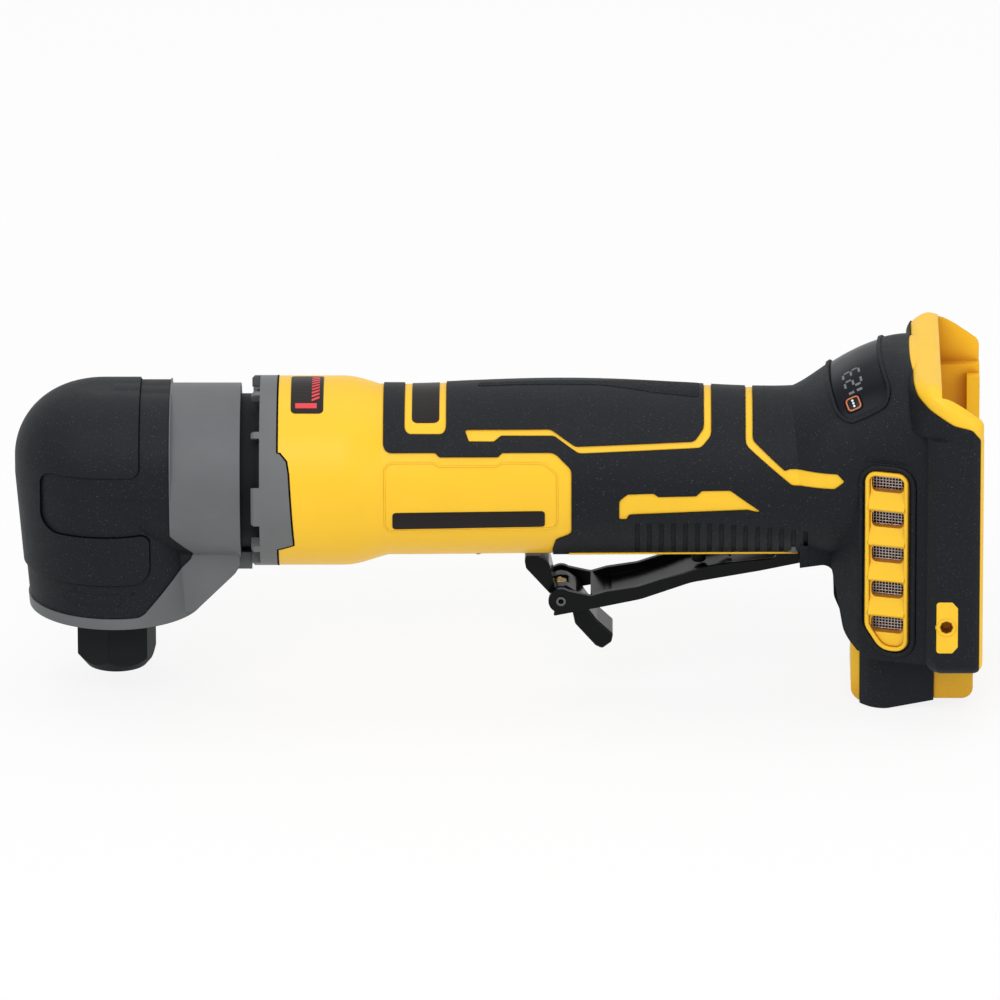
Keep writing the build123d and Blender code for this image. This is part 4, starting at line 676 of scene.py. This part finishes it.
def add_ring_shadow_line():
    """A thin dark line all round, painted shadow of the seam's gap; the right tab is the mirror image of the
    left one.
    """
    half_turn = math.pi * WRAP_RADIUS / MM
    left = [Vector(corner) for corner in RING_SEAM]
    right = [Vector((x, -half_turn - arc)) for x, arc in reversed(RING_SEAM)]
    corners = left + right + [left[0] - Vector((0.0, 2 * half_turn))]
    line = in_steps([corner * MM for corner in corners])
    ring_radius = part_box("exhaust_ring")[1][1]
    bead("ring_seam_shadow", [line], RING_SEAM_WIDTH, on_cylinder(ring_radius), RING_SEAM_LIFT,
         extras["seam_shadow"], sink=RING_SEAM_SINK)


# Grip: a thin line of the housing along the lower edge of each side, and the end of the ribbed band
LINE_FRONT = 0.140
LINE_REAR = 0.2105
LINE_SIDE = 0.012
LINE_HALF = 0.0003             # half thickness
LINE_LOW = (-0.02325, -0.0229)         # height of the lower edge at its front and rear ends
LINE_HIGH = (-0.02265, -0.0223)
STOP_HALF = 0.00021
STOP_HIGH = (-0.0214, -0.0212)         # the rubber closes the ribs' lower ends up to here
BAND_END_X = (211.9, 213.7)    # in millimetres, as the heights below
BAND_END_HEIGHTS = (-25.3, -18.4)
BAND_END_LIFT = 0.00005


def edge_bar(name, side, half, low, high, slot):
    """A straight bar along one lower edge of the grip, from low to high at its front and rear ends."""
    bar = bmesh.new()
    ends = []
    for x, bottom, top in zip((LINE_FRONT, LINE_REAR), low, high):
        section = ((-half, bottom), (half, bottom), (half, top), (-half, top))
        ends.append([bar.verts.new((x, side * (LINE_SIDE + off), AXIS_HEIGHT + height))
                     for off, height in section])
    join(bar, ends)
    finish_piece(name, bar, finishes[slot], "body")


def add_grip_edges():
    front, rear = BAND_END_X
    low, high = BAND_END_HEIGHTS
    band_end = rectangle(front, low, rear, high)
    for name, side in SIDES:
        edge_bar(f"{name}_lower_line", side, LINE_HALF, LINE_LOW, LINE_HIGH, "yellow_plastic")
        edge_bar(f"{name}_rib_stop", side, STOP_HALF, LINE_HIGH, STOP_HIGH, "black_rubber")
        skin = between(on_side(surface(f"{name}_grip_overmould"), side), front * MM, rear * MM)
        plate(f"{name}_band_end", [band_end], skin, BAND_END_LIFT, finishes["black_rubber"])


# Grip: a rough patch along the top, (x, distance from the middle) on its left edge in millimetres
PATCH_EDGE = ((112.0, 1.4), (150.0, 2.0), (166.0, 5.6), (180.0, 7.0))
PATCH_ROUND = 1.2
PATCH_LIFT = 0.00015


def add_top_patch():
    top = math.pi / 2 * WRAP_RADIUS / MM
    edge = [(x, top - half, PATCH_ROUND) for x, half in PATCH_EDGE]
    far_edge = [(x, top + half, PATCH_ROUND) for x, half in reversed(PATCH_EDGE)]
    grip = round_barrel(surface("left_grip_overmould", "right_grip_overmould"))
    plate("top_patch", [rounded(*edge, *far_edge)], grip, PATCH_LIFT, extras["rough_rubber"])


# Belt hook: a moulded lip round each threaded insert, its outline in millimetres
HOOK_X = 255.8
HOOK_HEIGHT = -36.6
LIP_RADIUS = 2.75
LIP_CORNERS = 8
LIP_ROUND = 1.0
LIP_WIDTH = 0.0016
LIP_LIFT = 0.00012


def add_hook_lips():
    corners = []
    for k in range(LIP_CORNERS):
        turn = k * math.tau / LIP_CORNERS
        corners.append((HOOK_X + LIP_RADIUS * math.cos(turn), HOOK_HEIGHT + LIP_RADIUS * math.sin(turn),
                        LIP_ROUND))
    lip = rounded(*corners)
    for name, side in SIDES:
        boss = on_side(surface(f"{name}_housing", "belt_hook_inserts"), side)
        bead(f"{name}_hook_lip", [lip], LIP_WIDTH, boss, LIP_LIFT, finishes["yellow_plastic"])


# Air intakes: a raised rim and a rubber ridge round each frame, and sloping louvres between the slots
RIM = rounded((231.75, 9.85, 2.6), (243.5, 9.85, 2.6), (243.5, -47.05, 3.2), (236.3, -47.05, 5.2),
              (231.75, -40.0, 5.2))
RIM_WIDTH = 0.0017
RIM_LIFT = 0.0012
RIDGE = rounded((229.6, 11.6, 5.3), (245.6, 11.6, 5.3), (245.6, -49.2, 5.3), (235.5, -49.2, 7.0),
                (229.6, -40.4, 7.0))
RIDGE_WIDTH = 0.0022
RIDGE_LIFT = 0.0006
SLOTS = 5
SLOT_TOP = 0.0066              # middle of the highest slot above the motor axis
SLOT_PITCH = 0.0115
SLOT_HALF = 0.0027
LOUVRE_FRONT = 0.2322
LOUVRE_REAR = 0.2432
LOUVRE_STEP = 0.001
LOUVRE_LIFT = 0.0016
LOUVRE_NOSE = 0.0008           # the highest line lies this far above the lower edge
LOUVRE_CHIN = 0.00096          # lift of the lower edge


def add_louvres(name, place):
    """Slopes that rise from the lower edge of one slot to the upper edge of the next."""
    mesh = bmesh.new()
    length = LOUVRE_REAR - LOUVRE_FRONT
    steps = round(length / LOUVRE_STEP)
    for i in range(SLOTS - 1):
        high = SLOT_TOP - i * SLOT_PITCH - SLOT_HALF
        low = SLOT_TOP - (i + 1) * SLOT_PITCH + SLOT_HALF
        section = ((high - SINK, -SINK), (low + LOUVRE_NOSE, LOUVRE_LIFT), (low + SINK, LOUVRE_CHIN),
                   (low + SINK, -SINK))
        columns = []
        for k in range(steps + 1):
            column = []
            for height, lift in section:
                hit, normal = place(LOUVRE_FRONT + length * k / steps, height)
                column.append(mesh.verts.new(hit + normal * lift))
            columns.append(column)
        join(mesh, columns)
    finish_piece(f"{name}_louvres", mesh, finishes["yellow_plastic"], "body")


def add_intake_rims():
    for name, side in SIDES:
        wall = on_side(surface(f"{name}_housing", f"{name}_grip_overmould"), side)
        bead(f"{name}_intake_rim", [RIM], RIM_WIDTH, wall, RIM_LIFT, finishes["yellow_plastic"])
        bead(f"{name}_intake_ridge", [RIDGE], RIDGE_WIDTH, wall, RIDGE_LIFT, finishes["black_rubber"])
        add_louvres(name, wall)


# Air intakes: woven wire behind the slots, with a dark sheet behind it, painted shade of the tool's inside
WIRE_PITCH = 0.00095
WIRE_RADIUS = 0.00014
WIRE_SIDES = 6
WIRE_OVER = 1.2                # depth of the front and rear wires in the CAD sheet, in wire radii
WIRE_UNDER = 3.0
SHADE_SHEET_DEPTH = 0.0007         # from the front wires to the dark sheet
SHADE_SHEET_THICK = 0.0003


def wire(mesh, points, across):
    """A thin round wire through some points; across is one direction square to it."""
    if len(points) < 2:
        return
    rings = []
    for point in points:
        ring = []
        for k in range(WIRE_SIDES):
            angle = math.tau * k / WIRE_SIDES
            off = across * math.cos(angle) + Vector((0.0, 1.0, 0.0)) * math.sin(angle)
            ring.append(mesh.verts.new(point + off * WIRE_RADIUS))
        rings.append(ring)
    join(mesh, rings, smooth=True)


def add_screen(name, side):
    """Woven wire that follows the curved sheet of the CAD node, and behind it a dark sheet that is painted
    shade of the tool's inside.
    """
    node = f"{name}_intake_screen"
    place = on_side(surface(node), side)
    low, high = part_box(node)
    columns = int((high[0] - low[0]) / WIRE_PITCH)
    rows = int((high[2] - low[2]) / WIRE_PITCH)

    def crossing(i, k, over):
        """The wire's point at a crossing of the grid, over or under the other wire."""
        hit = place(low[0] + (i + 0.5) * WIRE_PITCH, low[2] + (k + 0.5) * WIRE_PITCH - AXIS_HEIGHT)[0]
        return hit and hit - Vector((0.0, side * WIRE_RADIUS * (WIRE_OVER if over else WIRE_UNDER), 0.0))

    mesh = bmesh.new()
    for i in range(columns):
        points = [crossing(i, k, (i + k) % 2 == 0) for k in range(rows)]
        wire(mesh, [point for point in points if point], Vector((1.0, 0.0, 0.0)))
    for k in range(rows):
        points = [crossing(i, k, (i + k) % 2 == 1) for i in range(columns)]
        wire(mesh, [point for point in points if point], Vector((0.0, 0.0, 1.0)))
    screen = finish_piece(f"{name}_wire_screen", mesh, extras["woven_wire"], "body")
    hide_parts(node)

    # painted shade: a black sheet behind the wires, where the inside of the tool lies in shade
    shade_sheet = bmesh.new()
    grid = {}
    for i in range(columns):
        for k in range(rows):
            spot = crossing(i, k, True)
            if spot:
                grid[i, k] = shade_sheet.verts.new(spot - Vector((0.0, side * SHADE_SHEET_DEPTH, 0.0)))
    for i, k in grid:
        corners = [grid.get(cell) for cell in ((i, k), (i + 1, k), (i + 1, k + 1), (i, k + 1))]
        if all(corners):
            shade_sheet.faces.new(corners)
    shade_sheet.normal_update()
    bmesh.ops.solidify(shade_sheet, geom=shade_sheet.faces[:], thickness=-side * SHADE_SHEET_THICK)
    finish_piece(f"{name}_screen_shade_sheet", shade_sheet, finishes["black_plastic"], "body")


# Display: a rim round the lens and figures on it, by (up the slope, across) outlines
DISPLAY_SLOPE = math.radians(25.5)
WINDOW_MIDDLE = Vector((0.2272, 0.0, AXIS_HEIGHT + 0.0366))
UP_SLOPE = Vector((math.cos(DISPLAY_SLOPE), 0.0, math.sin(DISPLAY_SLOPE)))
ACROSS = Vector((0.0, 1.0, 0.0))
LENS_RIM = rectangle(-8.9, -23.9, 8.9, 23.9, 4.2)
LENS_RIM_WIDTH = 0.0015
LENS_RIM_LIFT = 0.0007
FIGURE_LIFT = 0.00004
FIGURE_HEIGHT = 5.4            # in millimetres, as all sizes of the figures below
FIGURE_MIDDLE = -1.2           # middle of the figures along the slope
STROKE = 0.75
STROKE_GAP = 0.6 * STROKE      # strokes end this far from their corners
STROKES = {                    # middle as shares of the height and the width, and whether it is upright
    "a": (1.0, 0.5, False),
    "b": (0.75, 1.0, True),
    "c": (0.25, 1.0, True),
    "d": (0.0, 0.5, False),
    "e": (0.25, 0.0, True),
    "g": (0.5, 0.5, False),
}
FIGURES = (("bc", -19.2, 1.6), ("abged", -15.8, 2.8), ("abgcd", -11.6, 3.2))   # strokes, left edge, width


def figure_outlines(strokes, left, width):
    """The strokes of one figure, as in a seven-stroke display read from behind the tool."""
    outlines = []
    for stroke in strokes:
        up, across, upright = STROKES[stroke]
        middle_up = FIGURE_MIDDLE + (0.5 - up) * FIGURE_HEIGHT
        middle_across = left + across * width
        half_up = FIGURE_HEIGHT / 4 - STROKE_GAP if upright else STROKE / 2
        half_across = STROKE / 2 if upright else width / 2 - STROKE_GAP
        outlines.append(rectangle(middle_up - half_up, middle_across - half_across,
                                  middle_up + half_up, middle_across + half_across))
    return outlines


def add_display():
    lens = on_plane(surface("display_lens"), WINDOW_MIDDLE, UP_SLOPE, ACROSS)
    neck = on_plane(surface("left_grip_overmould", "right_grip_overmould", "left_housing", "right_housing"),
                    WINDOW_MIDDLE, UP_SLOPE, ACROSS)
    bead("display_rim", [LENS_RIM], LENS_RIM_WIDTH, neck, LENS_RIM_LIFT, finishes["black_rubber"])
    outlines = []
    for strokes, left, width in FIGURES:
        outlines += figure_outlines(strokes, left, width)
    plate("display_figures", outlines, lens, FIGURE_LIFT, extras["grey_print"])


# Button: a ring with three dots
BUTTON_LEAN = math.radians(45.0)
BUTTON_ACROSS = Vector((-math.sin(DISPLAY_SLOPE) * math.sin(BUTTON_LEAN),
                        math.cos(BUTTON_LEAN),
                        math.cos(DISPLAY_SLOPE) * math.sin(BUTTON_LEAN)))
BUTTON_RING = rectangle(-2.0, -2.0, 2.0, 2.0, 1.0)
BUTTON_RING_WIDTH = 0.0006
BUTTON_DOTS = (-0.95, 0.0, 0.95)       # middles of the dots, in millimetres, as the next two sizes
BUTTON_DOT_HALF = 0.35
BUTTON_DOT_ROUND = 0.3
BUTTON_LIFT = 0.00006


def add_button_marks():
    low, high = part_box("speed_button")
    middle = (Vector(low) + Vector(high)) / 2
    button = on_plane(surface("speed_button"), middle, UP_SLOPE, BUTTON_ACROSS)
    dots = [rectangle(-BUTTON_DOT_HALF, across - BUTTON_DOT_HALF, BUTTON_DOT_HALF, across + BUTTON_DOT_HALF,
                      BUTTON_DOT_ROUND) for across in BUTTON_DOTS]
    bead("button_ring", [BUTTON_RING], BUTTON_RING_WIDTH, button, BUTTON_LIFT, extras["orange_print"],
         "speed_button")
    plate("button_dots", dots, button, BUTTON_LIFT, extras["white_print"], "speed_button")


# Boot: a raised arrow for the spindle's turning, and a small dark dot
ARROW = rounded((-15.9, -33.0, 0), (-11.7, -36.2, 0.3), (-11.7, -34.8, 0), (2.2, -34.8, 0.4),
                (2.2, -31.2, 0.4), (-11.7, -31.2, 0), (-11.7, -29.8, 0.3))
ARROW_WIDTH = 0.0005
ARROW_LIFT = 0.00012
BOOT_DOT = rectangle(5.4, -31.6, 6.4, -30.6, 0.45)
BOOT_DOT_LIFT = 0.00005


def add_boot_arrow():
    boot = on_side(surface("gear_case_boot"), -1)
    bead("boot_arrow", [ARROW], ARROW_WIDTH, boot, ARROW_LIFT, finishes["black_rubber"])
    plate("boot_dot", [BOOT_DOT], boot, BOOT_DOT_LIFT, finishes["gloss_black_plastic"])


# Boot: painted shadow, a dark line in the corner at the foot of its raised pad
PAD = rounded((-50.0, 50.0, 0), (8.0, 50.0, 0), (8.0, 7.3, 3.0), (-22.5, 7.3, 4.0), (-22.5, -12.5, 6.0),
              (11.0, -12.5, 3.0), (11.0, -28.0, 5.0), (-50.0, -28.0, 0))       # outline from the side
PAD_MARGIN = 0.00025           # corners this near to the outline belong to it
PAD_SHADOW_ANGLE = math.radians(40.0)    # corners sharper than this carry the line
PAD_SHADOW_RADIUS = 0.00042
PAD_SHADOW_SIDES = 6
PAD_SHADOW_SHORTEST = 0.000042   # shorter edges carry no line
OUTER_DEPTH = 0.001            # the boot's outer face lies at least this far from the casting
WELD = 1e-6                    # corners of the boot's mesh nearer than this are one


def off_outline(spot, outline):
    """Distance of a spot from a closed outline."""
    distances = []
    for first, last in zip(outline, outline[1:] + outline[:1]):
        share = min(max(intersect_point_line(spot, first, last)[1], 0.0), 1.0)
        distances.append((first.lerp(last, share) - spot).length)
    return min(distances)


def add_boot_pad_shadow():
    """Painted shadow: short round dark bars along the inward corners of the boot's outer face."""
    casting = surface("gear_case")
    turns = [math.tau * k / PAD_SHADOW_SIDES for k in range(PAD_SHADOW_SIDES)]
    shape = bmesh.new()
    shape.from_mesh(nodes["gear_case_boot"].data)
    bmesh.ops.remove_doubles(shape, verts=shape.verts, dist=WELD)
    shadow_bars = bmesh.new()
    for edge in shape.edges:
        if len(edge.link_faces) != 2 or edge.calc_face_angle_signed(0.0) > -PAD_SHADOW_ANGLE:
            continue
        first, last = (vertex.co for vertex in edge.verts)
        middle = (first + last) / 2
        if casting.find_nearest(middle)[3] < OUTER_DEPTH or edge.calc_length() < PAD_SHADOW_SHORTEST:
            continue
        if off_outline(Vector((middle.x, middle.z - AXIS_HEIGHT)), PAD) > PAD_MARGIN:
            continue
        up = sum((face.normal for face in edge.link_faces), Vector()).normalized()
        across = (last - first).cross(up).normalized()
        ends = []
        for point in (first, last):
            ends.append([shadow_bars.verts.new(point + (up * math.cos(t) + across * math.sin(t)) * PAD_SHADOW_RADIUS)
                         for t in turns])
        join(shadow_bars, ends)
    shape.free()
    finish_piece("boot_pad_shadow_lines", shadow_bars, extras["seam_shadow"], "body")


# Lever: a thin lip that carries its floor forward, over the swing of the lock-off tab
FLOOR_LIP = ((0.1466, -0.0374), (0.1512, -0.03925), (0.1532, -0.0396))         # (x, height) of its underside
FLOOR_LIP_THICK = 0.0005
FLOOR_LIP_HALF = 0.00985       # half width, just into the lever's walls


def add_floor_lip():
    outline = list(FLOOR_LIP) + [(x, height + FLOOR_LIP_THICK) for x, height in reversed(FLOOR_LIP)]
    lip = bmesh.new()
    ends = [[lip.verts.new((x, y, AXIS_HEIGHT + height)) for x, height in outline]
            for y in (-FLOOR_LIP_HALF, FLOOR_LIP_HALF)]
    join(lip, ends)
    finish_piece("lever_floor_lip", lip, finishes["black_steel"], "lever")


def add_return_spring():
    node = nodes["lever_return_spring"]
    spring = bpy.data.objects.new("return_spring", node.data.copy())
    scene.collection.objects.link(spring)
    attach(spring, "body")
    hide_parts("lever_return_spring")
    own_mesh(spring)


dress_nodes()
add_barrel_plates()
add_ring_shadow_line()
add_grip_edges()
add_top_patch()
add_hook_lips()
add_intake_rims()
for side_name, side_sign in SIDES:
    add_screen(side_name, side_sign)
add_display()
add_button_marks()
add_boot_arrow()
add_boot_pad_shadow()
add_floor_lip()
add_return_spring()
add_stage()
add_camera()
scene.view_settings.view_transform = "Standard"
